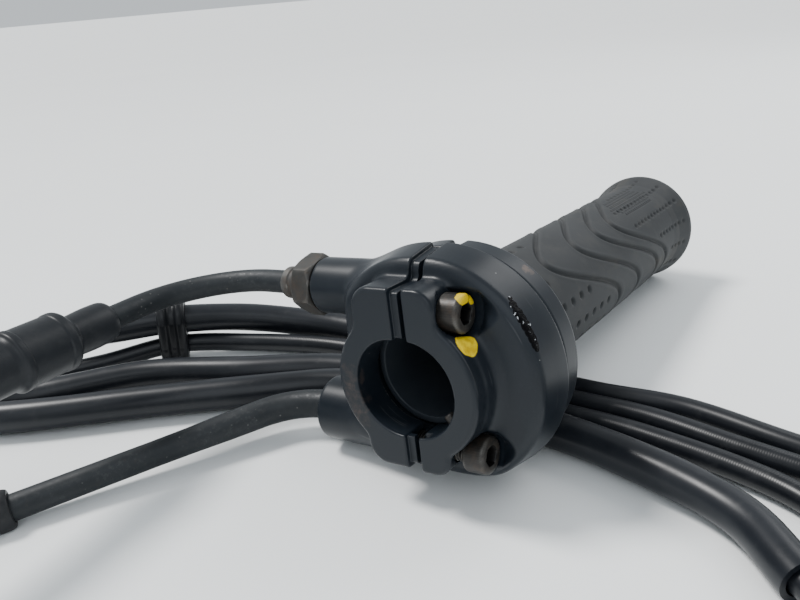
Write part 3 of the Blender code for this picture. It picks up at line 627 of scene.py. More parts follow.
def catmull(points, spacing):
    """Centripetal Catmull-Rom curve through the points, evenly resampled."""
    points = [np.array(p, float) for p in points]
    points = [points[0] * 2 - points[1]] + points + [points[-1] * 2 - points[-2]]
    fine = []

    def between(t, start, first, end, second):
        return (end - t) / (end - start) * first + (t - start) / (end - start) * second

    for i in range(1, len(points) - 2):
        ctrl = points[i - 1:i + 3]
        knot = [0.0]
        for j in range(3):
            knot.append(knot[-1] + np.linalg.norm(ctrl[j + 1] - ctrl[j]) ** 0.5)
        for k in range(24):
            t = knot[1] + (knot[2] - knot[1]) * k / 24
            low = [between(t, knot[j], ctrl[j], knot[j + 1], ctrl[j + 1]) for j in range(3)]
            mid = [between(t, knot[j], low[j], knot[j + 2], low[j + 1]) for j in range(2)]
            fine.append(between(t, knot[1], mid[0], knot[2], mid[1]))
    fine.append(points[-2])
    return resample(np.array(fine), spacing)


def sweep(path, radius, segs, bore=0.0, shape=None, up=Z_AXIS):
    """Round bar or pipe along a path; shape(point index, theta) scales the outer radius."""
    way = np.gradient(path, axis=0)
    way /= np.linalg.norm(way, axis=1)[:, None]
    side = np.cross(way, np.array(up, float))
    side /= np.linalg.norm(side, axis=1)[:, None]
    top = np.cross(side, way)
    count = len(path)
    theta = np.linspace(0, 2 * np.pi, segs, endpoint=False)
    outer = np.outer(np.broadcast_to(radius, count), np.ones(segs))
    if shape is not None:
        outer = outer * shape(np.arange(count)[:, None], theta)
    skins = [outer]
    if bore:
        skins.append(np.full((count, segs), bore))
    verts, faces, grids = [], [], []
    for layer, radii in enumerate(skins):
        verts.append((path[:, None] + side[:, None] * (np.sin(theta) * radii)[..., None]
                      + top[:, None] * (np.cos(theta) * radii)[..., None]).reshape(-1, 3))
        grid = (np.arange(count * segs).reshape(count, segs) + layer * count * segs).tolist()
        grids.append(grid)
        for ring, after in zip(grid, grid[1:]):
            quads = zip(ring, turned(ring), turned(after), after)
            faces += [quad[::-1] if layer else quad for quad in quads]
    if bore:
        faces += join(grids[0][0], grids[1][0])
        faces += [quad[::-1] for quad in join(grids[0][-1], grids[1][-1])]
    else:
        faces += [tuple(grids[0][0])[::-1], tuple(grids[0][-1])]
    return np.concatenate(verts), faces


def rows(start, end, radius, step):
    """Evenly stepped profile points at one radius."""
    count = max(1, int(round((end - start) / step)))
    return [(start + (end - start) * k / count, radius) for k in range(count + 1)]


def threaded(depth, start, end, crest):
    """Lathe shape that cuts a thread of 1 mm pitch into the rows at the crest radius."""
    def shape(theta, along, radius):
        if start + 0.4 < along < end - 0.4 and abs(radius - crest) < 1e-6:
            phase = (along - theta / (2 * math.pi)) % 1.0
            return radius - depth * (1 - abs(2 * phase - 1))
        return radius
    return shape


# ---------------------------------------------------------------------------
# signed-distance modelling, negative inside
def polygon_distance(along, out, outline):
    nearest = np.full(along.shape, 1e9)
    inside = np.zeros(along.shape, bool)
    for (along0, out0), (along1, out1) in zip(outline, turned(outline)):
        run, rise = along1 - along0, out1 - out0
        square = run * run + rise * rise
        if square < 1e-12:
            continue
        t = np.clip(((along - along0) * run + (out - out0) * rise) / square, 0, 1)
        off_along, off_out = along - along0 - run * t, out - out0 - rise * t
        nearest = np.minimum(nearest, off_along * off_along + off_out * off_out)
        spans = ((out0 <= out) & (out < out1)) | ((out1 <= out) & (out < out0))
        if rise != 0:
            inside ^= spans & (along < along0 + run * (out - out0) / rise)
    nearest = np.sqrt(nearest)
    return np.where(inside, -nearest, nearest)


def box_distance(y, z, y0, y1, z0, z1, corner):
    """Rounded rectangle in the YZ plane."""
    over_y = np.abs(y - (y0 + y1) / 2) - ((y1 - y0) / 2 - corner)
    over_z = np.abs(z - (z0 + z1) / 2) - ((z1 - z0) / 2 - corner)
    return (np.hypot(np.maximum(over_y, 0), np.maximum(over_z, 0))
            + np.minimum(np.maximum(over_y, over_z), 0) - corner)


def union(first, second, blend):
    over = np.maximum(blend - np.abs(first - second), 0) / blend
    return np.minimum(first, second) - over * over * blend * 0.25


def common(first, second, blend):
    """What both shapes share, its edge rounded by the blend."""
    return -union(-first, -second, blend)


def surface_nets(fn, low, high, cell):
    """Meshes the zero surface of fn(x, y, z); gives vertices, quads and normals."""
    low, high = np.array(low, float), np.array(high, float)
    dims = np.ceil((high - low) / cell).astype(int) + 1
    ticks = [low[k] + np.arange(dims[k]) * cell for k in range(3)]
    field = np.empty(dims, np.float32)
    slab = 16
    for i in range(0, dims[0], slab):
        field[i:i + slab] = fn(*np.meshgrid(ticks[0][i:i + slab], ticks[1], ticks[2],
                                            indexing="ij"))
    solid_at = field < 0
    count = np.zeros([d - 1 for d in dims], np.int8)
    corners = [(i, j, k) for i in (0, 1) for j in (0, 1) for k in (0, 1)]
    for i, j, k in corners:
        count += solid_at[i:dims[0] - 1 + i, j:dims[1] - 1 + j, k:dims[2] - 1 + k]
    active = (count > 0) & (count < 8)
    index = np.full(active.shape, -1, np.int64)
    cells = np.argwhere(active)
    index[active] = np.arange(len(cells))
    # each vertex is the mean of the crossings on its cell's edges
    total, hits = np.zeros((len(cells), 3)), np.zeros(len(cells))
    for corner in corners:
        for k in range(3):
            if corner[k]:
                continue
            other = list(corner)
            other[k] = 1
            start = field[tuple((cells + corner).T)].astype(float)
            end = field[tuple((cells + other).T)].astype(float)
            cross = (start < 0) != (end < 0)
            t = start[cross] / (start[cross] - end[cross])
            point = np.array(corner, float) + np.zeros((cross.sum(), 3))
            point[:, k] += t
            total[cross] += point
            hits[cross] += 1
    verts = low + (cells + total / hits[:, None]) * cell
    quads = []
    for k in range(3):
        axis_u, axis_w = (k + 1) % 3, (k + 2) % 3
        before, after = [slice(None)] * 3, [slice(None)] * 3
        before[k], after[k] = slice(0, -1), slice(1, None)
        near, far = solid_at[tuple(before)], solid_at[tuple(after)]
        edges = np.argwhere(near != far)
        edges = edges[(edges[:, axis_u] > 0) & (edges[:, axis_w] > 0)
                      & (edges[:, axis_u] < dims[axis_u] - 1)
                      & (edges[:, axis_w] < dims[axis_w] - 1)]
        step_u, step_w = np.zeros(3, int), np.zeros(3, int)
        step_u[axis_u], step_w[axis_w] = 1, 1
        around = (edges - step_u - step_w, edges - step_w, edges, edges - step_u)
        quad = np.stack([index[tuple(spot.T)] for spot in around], 1)
        inside = near[tuple(edges.T)]
        quad[~inside] = quad[~inside][:, ::-1]
        quads.append(quad)

    def slope(reach):
        x, y, z = verts.T
        return np.stack([fn(x + reach, y, z) - fn(x - reach, y, z),
                         fn(x, y + reach, z) - fn(x, y - reach, z),
                         fn(x, y, z + reach) - fn(x, y, z - reach)], 1)

    # two steps that pull the vertices onto the surface
    reach = cell * 0.25
    for _ in range(2):
        grad = slope(reach) / (2 * reach)
        move = -(fn(*verts.T) / np.maximum((grad * grad).sum(1), 0.25))[:, None] * grad
        size = np.linalg.norm(move, axis=1)
        move *= np.minimum(1, 0.45 * cell / np.maximum(size, 1e-9))[:, None]
        verts = verts + move * 0.8
    grad = slope(cell * 0.3)
    normals = grad / np.maximum(np.linalg.norm(grad, axis=1), 1e-9)[:, None]
    return verts, np.concatenate(quads), normals


# ---------------------------------------------------------------------------
# cast halves
# turned outline of the case: x, radius, corner rounding
CASE = soften([
    (5.0, 0), (5.0, 16.2, 0.1), (7.3, 16.9, 0.7), (8.25, 18.7, 1.0), (9.0, 24.9, 1.2),
    (10.3, 26.6, 0.9), (19.25, 28.0, 0.25), (19.8, 27.5, 0.2), (19.9, 24.6, 0.3),
    (22.3, 24.6, 0.4), (22.9, 26.1, 0.4), (28.5, 26.3, 0.5), (29.2, 25.4, 0.4), (29.2, 0)], 0.1)
# flat pads above and below the bore, in YZ: y from, y to, z from, z to, corner
FRONT_PADS = (-12, 10.3, 2.0, 22.6, 5.0), (-12, 10.5, -19.3, -2.0, 5.0)
REAR_PADS = (-8.3, 12, 2.0, 22.6, 4.8), (-8.3, 12, -19.6, -2.0, 4.4)
# cable bosses along Y: x, z, radius, mid y, half length, edge, bore radius, bore from y
BOSSES = ((PULL_X, PULL_Z, 7.15, 20.8, 12.75, 1.0, 4.6, 22.0),
          (RETURN_X, RETURN_Z, 8.3, 20.5, 12.55, 1.2, 4.2, 20.0))
WIRE_HOLE_R, SCREW_HOLE_R = 1.6, 2.75


def hollow(deep):
    """Turned outline of the cavity, whose drum chamber reaches the radius deep."""
    return soften([(-3.0, 0), (-3.0, 11.1, 0), (8.2, 11.1, 0.3), (8.2, 13.8, 0.2),
                   (13.0, 13.8, 0.2), (13.0, 18.4, 0.3), (13.6, deep, 0.4), (26.0, deep, 0.4),
                   (26.0, 14.0, 0.3), (31, 14.0, 0), (31, 0)], 0.1)


HOLLOW_FRONT, HOLLOW_REAR = hollow(19.2), hollow(23.6)


def from_screw(x, z, screw_z):
    return np.hypot(x - SCREW_X, z - screw_z)


def outer_shape(x, y, z, front):
    """Outside of a half before it is hollowed and split; y about its own bore centre."""
    radius = np.hypot(y, z)
    case = common(polygon_distance(x, radius, CASE), -24.4 - z, 3.0)
    if front:
        case = common(case, y - 20.4, 2.0)
    top, low = [box_distance(y, z, *pad) for pad in (FRONT_PADS if front else REAR_PADS)]
    flat = union(union(radius - 16.5, top, 2.0), low, 1.3)
    block = common(flat, np.abs(x - 5.5) - 5.5, 1.3)
    body = union(block, case, 1.7)
    if front:
        for boss_x, boss_z, wide, mid, half, edge, _, _ in BOSSES:
            boss = common(np.hypot(x - boss_x, z - boss_z) - wide, np.abs(y - mid) - half, edge)
            body = union(body, boss, 3.0)
    return body


def half_front(x, y, z):
    out = outer_shape(x, y, z, front=True)
    cavity = polygon_distance(x, np.hypot(y, z), HOLLOW_FRONT)
    body = common(out, -cavity, 0.5)
    for boss_x, boss_z, _, _, _, _, bore, start in BOSSES:
        away = np.hypot(x - boss_x, z - boss_z)
        body = common(body, -np.maximum(away - WIRE_HOLE_R, -(y - 5.0)), 0.2)
        body = common(body, -np.maximum(away - bore, -(y - start)), 0.4)
    for screw_z in SCREW_Z:
        hole = np.maximum(from_screw(x, z, screw_z) - SCREW_HOLE_R, y - 10.6)
        body = common(body, -hole, 0.4)
    split = common(body, -(y + 0.15), 0.5)
    # lip along the joint, set in from the outside
    lip = np.maximum(np.maximum(out + 1.0, -(out + 2.5)), np.maximum(-(y + 2.1), y - 1.0))
    lip = np.maximum(lip, -(cavity - 0.4))
    for screw_z in SCREW_Z:
        lip = np.maximum(lip, -(from_screw(x, z, screw_z) - 3.2))
    return union(split, lip, 0.25)


def half_rear(x, y_open, z):
    y = y_open + OPENING
    out = outer_shape(x, y, z, front=False)
    body = out
    # head pockets, narrowing towards +Y of the given depth's -Y side
    for screw_z in SCREW_Z:
        depth = SEAT - HEAD - (1.4 if screw_z > 0 else 0.6 + LOWER_GAP)
        room = 4.85 - np.clip((depth - y) * 0.6, 0, 4.5)
        body = common(body, -np.maximum(from_screw(x, z, screw_z) - room, y - SEAT), 0.9)
    body = common(body, -polygon_distance(x, np.hypot(y, z), HOLLOW_REAR), 0.5)
    for screw_z in SCREW_Z:
        hole = np.maximum(from_screw(x, z, screw_z) - SCREW_HOLE_R, SEAT - 2 - y)
        body = common(body, -hole, 0.3)
    _, peg_y, peg_z = PEG_WAY
    along = y * peg_y + z * peg_z
    across = np.sqrt((x - PEG_X) ** 2 + (y * peg_z - z * peg_y) ** 2)
    body = common(body, -np.maximum(across - 1.45, along - 13.0), 0.2)
    body = common(body, y + 0.75, 0.5)
    # rebate that takes the front half's lip
    rebate = np.maximum(np.maximum(out + 0.75, -(out + 2.8)), -(y + 3.1))
    return common(body, -rebate, 0.2)


CELL = 0.36
dense("cast_housing_front", "housing_front",
      surface_nets(half_front, (-0.8, -2.8, -29.2), (30.2, 34.6, 29.2), CELL),
      front_paint())
dense("cast_housing_rear", "housing_rear",
      surface_nets(half_rear, (-0.8, -32.0, -29.2), (30.2, -2.6, 29.2), CELL),
      rear_paint(), "rear_half")

# ---------------------------------------------------------------------------
# throttle tube: drum with a groove for each wire, flange and sleeve
# x, radius, corner rounding
TUBE = soften([
    (11.0, TUBE_BORE, 0.3), (11.0, 13.0, 0.4), (14.2, 13.0, 0.1), (14.2, 17.6, 0.3),
    (14.68, 17.6, 0.1), (14.68, 15.15, 0.3), (16.32, 15.15, 0.3), (16.32, 17.6, 0.2),
    (18.68, 17.6, 0.2), (18.68, 15.15, 0.3), (20.32, 15.15, 0.3), (20.32, 17.6, 0.2),
    (22.0, 17.6, 0.4), (22.0, 13.0, 0.3), (30.0, 13.0, 0.3), (30.0, 24.2, 0.7),
    (32.4, 24.1, 0.9), (32.4, 13.0, 0.3), (158.0, 13.0, 0.2), (158.0, TUBE_BORE, 0.2)], 0.2, 3)
solid("twist_tube", "throttle_tube", lathe(TUBE, segs=144), tube_nylon(),
      "twist_grip", sharp=50)

# ---------------------------------------------------------------------------
# rubber grip: wave grooves, rows of dimples, rolled end
WAVES = (76.0, 18.9), (94.3, 17.6), (111.8, 19.0), (122.9, 17.6)  # mean x, amplitude
WAVE_START = math.radians(124.4)
# outside before the grooves: x, radius
GRIP_OUTLINE = ((32.8, 16.2), (33.2, 16.65), (34.0, GRIP_R), (146.0, GRIP_R), (151.0, 17.2),
                (155.0, 18.1), (158.0, 18.8), (159.8, 18.9), (160.9, 18.5), (161.6, 17.6))
# rings that close the grip over its end and back through the bore: x, radius
GRIP_INSIDE = ((161.6, 16.8), (161.5, 15.2), (161.4, 14.0), (161.4, 12.2), (161.3, 11.6),
               (161.0, TUBE_BORE), (158.35, TUBE_BORE), (158.35, 13.2), (33.4, 13.2),
               (33.0, 13.4), (32.8, 14.2))


def wave(row, angle):
    """x of a wave groove at an angle round the grip."""
    mean, amplitude = WAVES[row]
    turn = angle - WAVE_START
    return mean - amplitude * np.cos(2 * turn) - 1.4 * np.sin(4 * turn) - 2.0 * np.cos(4 * turn)


def grip_radius(x, angle):
    radius = np.interp(x, *zip(*GRIP_OUTLINE))
    for row, (_, amplitude) in enumerate(WAVES):
        turn = 2 * (angle - WAVE_START)
        slope = 2 * amplitude * np.sin(turn) / GRIP_R
        dist = (x - wave(row, angle)) / np.sqrt(1 + slope ** 2)
        width = 0.85 + 0.15 * np.cos(turn)
        radius = radius - 0.85 * np.exp(-(np.abs(dist) / (0.92 * width)) ** 3.2)
        radius = radius + 0.10 * np.exp(-((np.abs(dist) - 1.7) / 0.7) ** 2)
    return radius


def dimpled(x, angle, radius):
    """Sinks the rows of dimples and the two stippled panels."""
    def around(centre):
        """Distance round the grip from an angle."""
        return ((angle - centre + math.pi) % (2 * math.pi) - math.pi) * GRIP_R

    def nearest(start, pitch):
        return start + pitch * np.round((x - start) / pitch)

    def sink(where, dist, depth, size, edge):
        return np.where(where, radius - depth / (1 + np.exp((dist - size) / edge)), radius)

    for row in range(14):
        centre = math.radians(-6.5 + row * 360 / 14.4)
        off = around(centre)
        in_row = np.abs(off) < 2.2
        # on the -X side of the first wave
        spot = nearest(start=40.2 + (0.0 if row % 2 else 2.8), pitch=5.6)
        here = in_row & (spot < wave(0, centre) - 5.2) & (spot > 37)
        radius = sink(here, np.hypot(x - spot, off), depth=0.75, size=0.95, edge=0.13)
        # on the +X side of the last wave
        spot = nearest(start=154.5, pitch=3.2)
        here = in_row & (spot > wave(3, centre) + 6.0) & (spot < 155)
        radius = sink(here, np.hypot((x - spot) * 0.75, off), depth=0.45, size=0.62, edge=0.12)
    for panel in (113.0, 293.0):
        for row in range(-3, 4):
            off = around(math.radians(panel + row * 4.6))
            spot = nearest(start=113.5 + (0.85 if row % 2 else 0), pitch=1.7)
            inset = abs(row) * 1.4
            here = (np.abs(off) < 0.66) & (spot > 113.0 + inset) & (spot < 146.0 - inset)
            radius = sink(here, np.hypot(x - spot, off), depth=0.30, size=0.45, edge=0.09)
    return radius


def grip():
    along, segs = ((520, 420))
    stations = np.concatenate([[32.8], np.linspace(33.05, 158.4, along),
                               [159.1, 159.8, 160.4, 160.9, 161.3, 161.6]])
    round_angles = np.linspace(0, 2 * np.pi, segs, endpoint=False)
    x, angle = np.meshgrid(stations, round_angles, indexing="ij")
    radius = dimpled(x, angle, grip_radius(x, angle))
    inside_x, inside_r = np.array(GRIP_INSIDE).T[:, :, None] * np.ones(segs)
    x = np.concatenate([x, inside_x])
    radius = np.concatenate([radius, inside_r])
    verts = np.stack([x, radius * np.cos(round_angles), radius * np.sin(round_angles)], -1)
    verts = verts.reshape(-1, 3)
    grid = np.arange(len(verts)).reshape(-1, segs)
    after = np.roll(grid, -1, axis=0)
    quads = np.stack([grid, np.roll(grid, -1, 1), np.roll(after, -1, 1), after], -1)
    quads = quads.reshape(-1, 4)[:, ::-1]
    # turn the faces outwards if the enclosed volume comes out negative
    first, second, third = (verts[quads[:, k]] for k in range(3))
    if np.einsum("ij,ij->i", np.cross(second - first, third - first), first).sum() < 0:
        quads = quads[:, ::-1]
    return verts, quads, None


dense("rubber_grip", "grip_rubber", grip(), grip_face(), "twist_grip")


# ---------------------------------------------------------------------------
# clamp screws and peg
def cap_screw(seat, z):
    """Screw along Y: knurled head towards -Y of its seat, hexagon socket, threaded shank."""
    length, head_r, shank_r, pitch, segs = 16.0, 4.25, 2.5, 0.8, 96
    top = seat - HEAD

    def knurl(theta, along, radius):
        if top + 0.55 < along < seat - 0.05 and radius > 4.0:
            return radius - 0.05 + 0.05 * abs(math.sin(theta * 24))
        return radius

    profile = [(top, 2.75), (top, 3.45), (top + 0.08, 3.7), (top + 0.35, 4.08)]
    profile += [(top + 0.6 + k * 0.42, head_r) for k in range(10)]
    profile += [(seat - 0.25, head_r), (seat - 0.05, 4.1), (seat, 3.95), (seat, 2.6)]
    at = np.array((SCREW_X, 0, z), float)
    verts, faces = lathe(profile, segs, Y_AXIS, at, closed=False, shape=knurl)
    verts = verts.tolist()
    axis, side, up = basis(Y_AXIS)

    def ring(along, radius_of):
        start = len(verts)
        for k in range(segs):
            theta = 2 * math.pi * k / segs
            radius = radius_of(theta)
            verts.append((at + axis * along + side * math.cos(theta) * radius
                          + up * math.sin(theta) * radius).tolist())
        return list(range(start, start + segs))

    def hexagon(theta):
        return 2.0 / math.cos((theta % (math.pi / 3)) - math.pi / 6)

    # socket, from its mouth down to its floor
    last = list(range(segs))
    for depth, radius_of in ((0.12, lambda theta: min(hexagon(theta) * 1.06, 2.6)),
                             (0.4, hexagon), (2.6, hexagon), (3.1, lambda theta: 0.9)):
        following = ring(top + depth, radius_of)
        faces += join(following, last)
        last = following
    faces.append(tuple(last))
    # thread, fading in and out over six rows
    count = 5 * 16
    last = list(range((len(profile) - 1) * segs, len(profile) * segs))
    for i in range(count + 1):
        along = seat + 0.3 + i * ((length - 0.9) / count)
        grow = min(1.0, i / 6) * min(1.0, (count - i) / 6)

        def thread(theta):
            phase = ((along - seat) / pitch - theta / (2 * math.pi)) % 1.0
            cut = grow * 0.42 * (1 - abs(2 * phase - 1))
            return shank_r - cut - (0.25 if i == count else 0)

        following = ring(along, thread)
        faces += join(last, following)
        last = following
    end = ring(seat + length, lambda theta: 1.9)
    faces += join(last, end)
    faces.append(tuple(end))
    return np.array(verts), faces


for which, body, gap, z in (("upper", "rear_half", UPPER_GAP, SCREW_Z[0]),
                            ("lower", "lower_screw", LOWER_GAP, SCREW_Z[1])):
    name = "cap_screw_" + which
    seat = SEAT - OPENING - gap
    solid(name, "clamp_screw_" + which, cap_screw(seat, z),
          screw_steel(name + "_steel", seat, z, painted=which == "upper"),
          body, sharp=35)

PEG = soften([(8.9, 0), (8.9, 1.2, 0.5), (12.6, 1.2, 0.3), (12.6, 0)], 0.3)
solid("bore_peg", "locating_peg", lathe(PEG, 32, PEG_WAY, at=(PEG_X, -OPENING, 0)),
      peg_steel(), "rear_half")


# ---------------------------------------------------------------------------
# bent tubes, collars and nuts
def bend(start, radius, angle, tilt, length, steps, lead):
    """Path along +Y that bends towards -X, and its final direction."""
    side = np.array((-math.cos(tilt), 0, math.sin(tilt)))
    ahead = np.array(Y_AXIS, float)
    start = np.array(start, float)
    points = [start - ahead * lead * (1 - k / 6) for k in range(6)]
    for k in range(steps + 1):
        t = angle * k / steps
        points.append(start + side * radius * (1 - math.cos(t)) + ahead * radius * math.sin(t))
    way = side * math.sin(angle) + ahead * math.cos(angle)
    points += [points[-1] + way * length * k / 8 for k in range(1, 9)]
    return np.array(points), way


def flattened(first, last, amount):
    """Slight ovalling of a tube inside its bend, between two path points."""
    def shape(i, theta):
        inside = np.exp(-((i - (first + last) / 2) / ((last - first) / 2)) ** 4)
        return 1 - amount * inside * np.abs(np.sin(theta)) ** 2
    return shape


ELBOW_BORE = 1.3
PULL_AT, RETURN_AT = (PULL_X, 0, PULL_Z), (RETURN_X, 0, RETURN_Z)
pull_bend, pull_way = bend((PULL_X, 53.6, PULL_Z), radius=24.5, angle=math.radians(95),
                           tilt=math.radians(-2.4), length=36.0, steps=36, lead=28.0)
pull_tip = pull_bend[-1]
solid("pull_bent_tube", "pull_elbow_tube",
      sweep(pull_bend, 3.1, 36, ELBOW_BORE, flattened(8, 42, amount=0.03)),
      black_paint("pull_tube_paint"))
return_bend, return_way = bend((RETURN_X, 34.5, RETURN_Z), radius=19.0,
                               angle=math.radians(62.45), tilt=math.radians(-4.5),
                               length=76.45, steps=24, lead=14.0)
return_tip = return_bend[-1]
# thick through the bend, stepping down to the straight part
return_radii = np.concatenate([np.full(26, 3.8), np.linspace(3.8, 3.74, 5), (3.65, 3.4),
                               np.full(len(return_bend) - 33, 3.3)])
solid("return_bent_tube", "return_elbow_tube",
      sweep(return_bend, return_radii, 36, ELBOW_BORE, flattened(8, 28, amount=0.06)),
      black_paint("return_tube_paint"))
FLARE = soften([(33.35, 4.1, 0.1), (33.35, 5.2, 0.5), (34.9, 5.2, 0.5), (35.4, 4.6, 0.3),
                (35.4, 4.1, 0.1)], 0.3)
solid("return_flare_collar", "return_elbow_collar", lathe(FLARE, 48, Y_AXIS, RETURN_AT),
      black_paint("return_collar_paint"))


def hex_nut(name, replaced, start, end, bore, flat, at, way, material, stub=None, phase=0.0):
    """Chamfered hexagon with a round bore; stub is the (start, radius) of a neck behind it."""
    def shape(theta, along, radius):
        if radius < flat * 0.9:
            return radius
        turn = (theta + phase) % (math.pi / 3) - math.pi / 6
        side = flat / math.cos(turn) - 0.02 * (abs(turn) > math.pi / 6 - 0.05)
        return min(side, flat - 0.15 + min(along - start, end - along) * 1.6)

    insets = (0, 0.12, 0.3, 0.55, 0.85, 1.25)
    stations = [start + inset for inset in insets]
    stations += [start + 1.25 + (end - start - 2.5) * k / 4 for k in range(1, 4)]
    stations += [end - inset for inset in reversed(insets)]
    profile = [(start, bore)]
    if stub:
        neck, neck_r = stub
        profile = [(neck, bore), (neck, neck_r - 0.3), (neck + 0.3, neck_r), (start, neck_r)]
    corner = flat / math.cos(math.pi / 6)
    profile += [(along, corner) for along in stations] + [(end, bore + 0.25), (end - 0.25, bore)]
    solid(name, replaced, lathe(profile, 96, way, at, shape=shape), material, sharp=28)


hex_nut("pull_hex_nut", "pull_elbow_nut", start=33.9, end=39.8, bore=3.4, flat=7.0, at=PULL_AT,
        way=Y_AXIS, material=nut_plate(), stub=(24.5, 4.2),
        phase=0.2 + math.pi / 6)
CRIMP = soften([(40.1, 3.4, 0.1), (40.1, 4.2, 0.25), (41.5, 4.2, 0.3), (41.9, 3.85, 0.3),
                (43.9, 3.85, 0.3), (44.3, 4.25, 0.3), (46.2, 4.25, 0.4), (46.2, 3.4, 0.1)], 0.2)
solid("pull_crimp_collar", "pull_elbow_collar", lathe(CRIMP, 48, Y_AXIS, PULL_AT),
      collar_plate())

# ---------------------------------------------------------------------------
# inline adjuster, boot and cap; profiles run along the tube from its tip
ADJUSTER = [(-14.0, 3.4)] + rows(-14.0, 12.0, 4.0, 0.2) + [(12.0, 1.3), (0.4, 1.3), (0.4, 3.4)]
solid("inline_adjuster_screw", "adjuster_screw",
      lathe(ADJUSTER, 48, pull_way, pull_tip,
            shape=threaded(depth=0.4, start=-14.0, end=12.0, crest=4.0)),
      zinc("adjuster_screw_zinc"))
hex_nut("inline_lock_nut", "adjuster_locknut", start=-10.0, end=-7.0, bore=4.25, flat=4.72,
        at=pull_tip, way=pull_way, material=zinc("lock_nut_zinc"))
BARREL = soften([(-6.6, 4.3, 0.1), (-6.6, 5.4, 0.5), (22.0, 5.4, 0.5), (22.0, 3.4, 0.1),
                 (12.6, 3.4, 0.1), (12.6, 4.3, 0.1)], 0.2)
solid("inline_adjuster_barrel", "adjuster_barrel", lathe(BARREL, 48, pull_way, pull_tip),
      zinc("adjuster_barrel_zinc"))

BOOT = soften([
    (-27.2, 3.4, 0.1), (-27.2, 4.7, 0.8), (-25.8, 5.3, 0.8), (-21.5, 5.5, 2.0), (-15.2, 5.2, 0.8),
    (-14.0, 7.1, 0.6), (-13.2, 7.6, 0.5), (-11.6, 7.55, 0.4), (-11.2, 7.35, 0.6),
    (-1.6, 7.35, 0.6), (-1.2, 7.6, 0.4), (0.2, 7.6, 0.6), (0.8, 6.9, 0.4), (1.8, 6.55, 0.8),
    (20.0, 6.5, 2.0), (41.8, 6.4, 0.8), (43.0, 5.0, 0.6), (43.0, 3.3, 0.1), (23.0, 3.3, 0.1),
    (23.0, 5.7, 0.1), (-12.0, 5.7, 0.1), (-14.0, 4.4, 0.3), (-18.0, 4.3, 0.3),
    (-18.0, 3.4, 0.1)], 0.3, 6)


def dent(theta, along, radius):
    """Makes the boot a little uneven where it has been pushed on."""
    if radius < 4.5:
        return radius
    return (radius - 0.06 * (1 + math.sin(2 * theta + along * 0.11))
            - 0.04 * (1 + math.sin(3 * theta - along * 0.23)))


solid("adjuster_rubber_boot", "adjuster_boot", lathe(BOOT, 72, pull_way, pull_tip, shape=dent),
      rubber("boot_rubber_face", dark=(0.008, 0.0095, 0.012), pale=(0.016, 0.018, 0.021),
             dust=0.25, rough=(0.34, 0.50)), sharp=60)
CAP = soften([
    (-14.6, 3.6, 0.1), (-14.6, 4.6, 0.5), (-13.4, 5.0, 0.6), (-11.0, 5.0, 0.5),
    (-10.2, 4.75, 0.5), (-7.6, 4.9, 0.7), (8.0, 5.0, 0.6), (9.5, 4.3, 0.6), (9.5, 3.5, 0.1),
    (0.4, 3.5, 0.1), (0.4, 3.6, 0.1)], 0.3, 5)
solid("return_rubber_cap", "return_cable_cap", lathe(CAP, 56, return_way, return_tip),
      rubber("cap_rubber_face", dark=(0.008, 0.009, 0.011), pale=(0.015, 0.016, 0.018),
             dust=0.3, rough=(0.38, 0.55)), sharp=60)

# ---------------------------------------------------------------------------
# outer cables, laid on the table: x, y, lift off the table
GUIDE_AT = (27, 113, 10.6)
PULL_ROUTE = (
    (-172, 112, 2), (-176, 146), (-150, 176), (-106, 190, 2), (-62, 185, 9), (-36, 174, 9),
    (-8, 150, 11), (12, 127, 10.6), GUIDE_AT, (44, 98.5, 7.5), (56, 82, 4), (62.5, 62, 2),
    (62, 20), (61.5, -19), (63.5, -42), (58, -69), (54, -95), (59, -130), (50, -172),
    (14, -196), (-26, -178), (-34, -140), (-10, -100), (12, -76, 1.8), (25, -63, 1.8),
    (34, -36, 1.8), (37.5, -10, 1.6), (38, 20, 0.5), (30, 46, 1.8), (16, 66, 1.8),
    (-2, 89, 1.8), (-29, 122, 1.8), (-50, 160, 1), (-62, 195, 3), (-70, 222, 4))
RETURN_ROUTE = (
    (-98, 105, 0.6), (-124, 120), (-132, 143), (-112, 166), (-74, 172, 7), (-38, 158, 9),
    (-20, 149, 4), (-6, 140), (9, 128), (27, 113, 2), (42, 92, 0.5), (53, 62), (54, 20),
    (54.5, -15), (55, -36), (51, -60), (46, -100), (47, -130), (34, -162), (8, -172),
    (-16, -155), (-18, -128), (2, -104), (26, -87), (39, -72), (46.5, -38), (47, -15),
    (46, 15), (38.5, 50, 1.8), (25, 75, 1.8), (9, 103, 1.8), (-19.5, 128, 1.8),
    (-36, 160, 1), (-47, 196, 3), (-53, 224, 4))


def lay(x, y, lift=0.0):
    return (x, y, table(x, y) + CABLE_R + lift)


def cable_path(tip, way, reaches, sag, route):
    """Leaves the tip straight, the last straight point moved by the sag, then lies down."""
    start = [tip + way * reach for reach in reaches]
    start[-1] = start[-1] + np.array(sag)
    return catmull(start + [lay(*point) for point in route], 2.0)


pull_path = cable_path(pull_tip, pull_way, (12.8, 22.0, 44.0, 66.0), (-1, 3, -7), PULL_ROUTE)
return_path = cable_path(return_tip, return_way, (0.8, 10.0, 18.8), (0, 0, 0), RETURN_ROUTE)
SHEATH_SEGS = 22
for prefix, path in (("pull", pull_path), ("return", return_path)):
    name = prefix + "_cable_sheath"
    uv = np.stack([np.repeat(distances(path), SHEATH_SEGS),
                   np.tile(np.arange(SHEATH_SEGS) / SHEATH_SEGS, len(path))], -1)
    solid(name, prefix + "_cable_outer", sweep(path, 2.98, SHEATH_SEGS),
          sheath_face(name + "_face", ribbed=prefix == "return"), sharp=0, uv=uv)


def nearest_index(path, point):
    return int(np.argmin(((path - np.array(point)) ** 2).sum(1)))


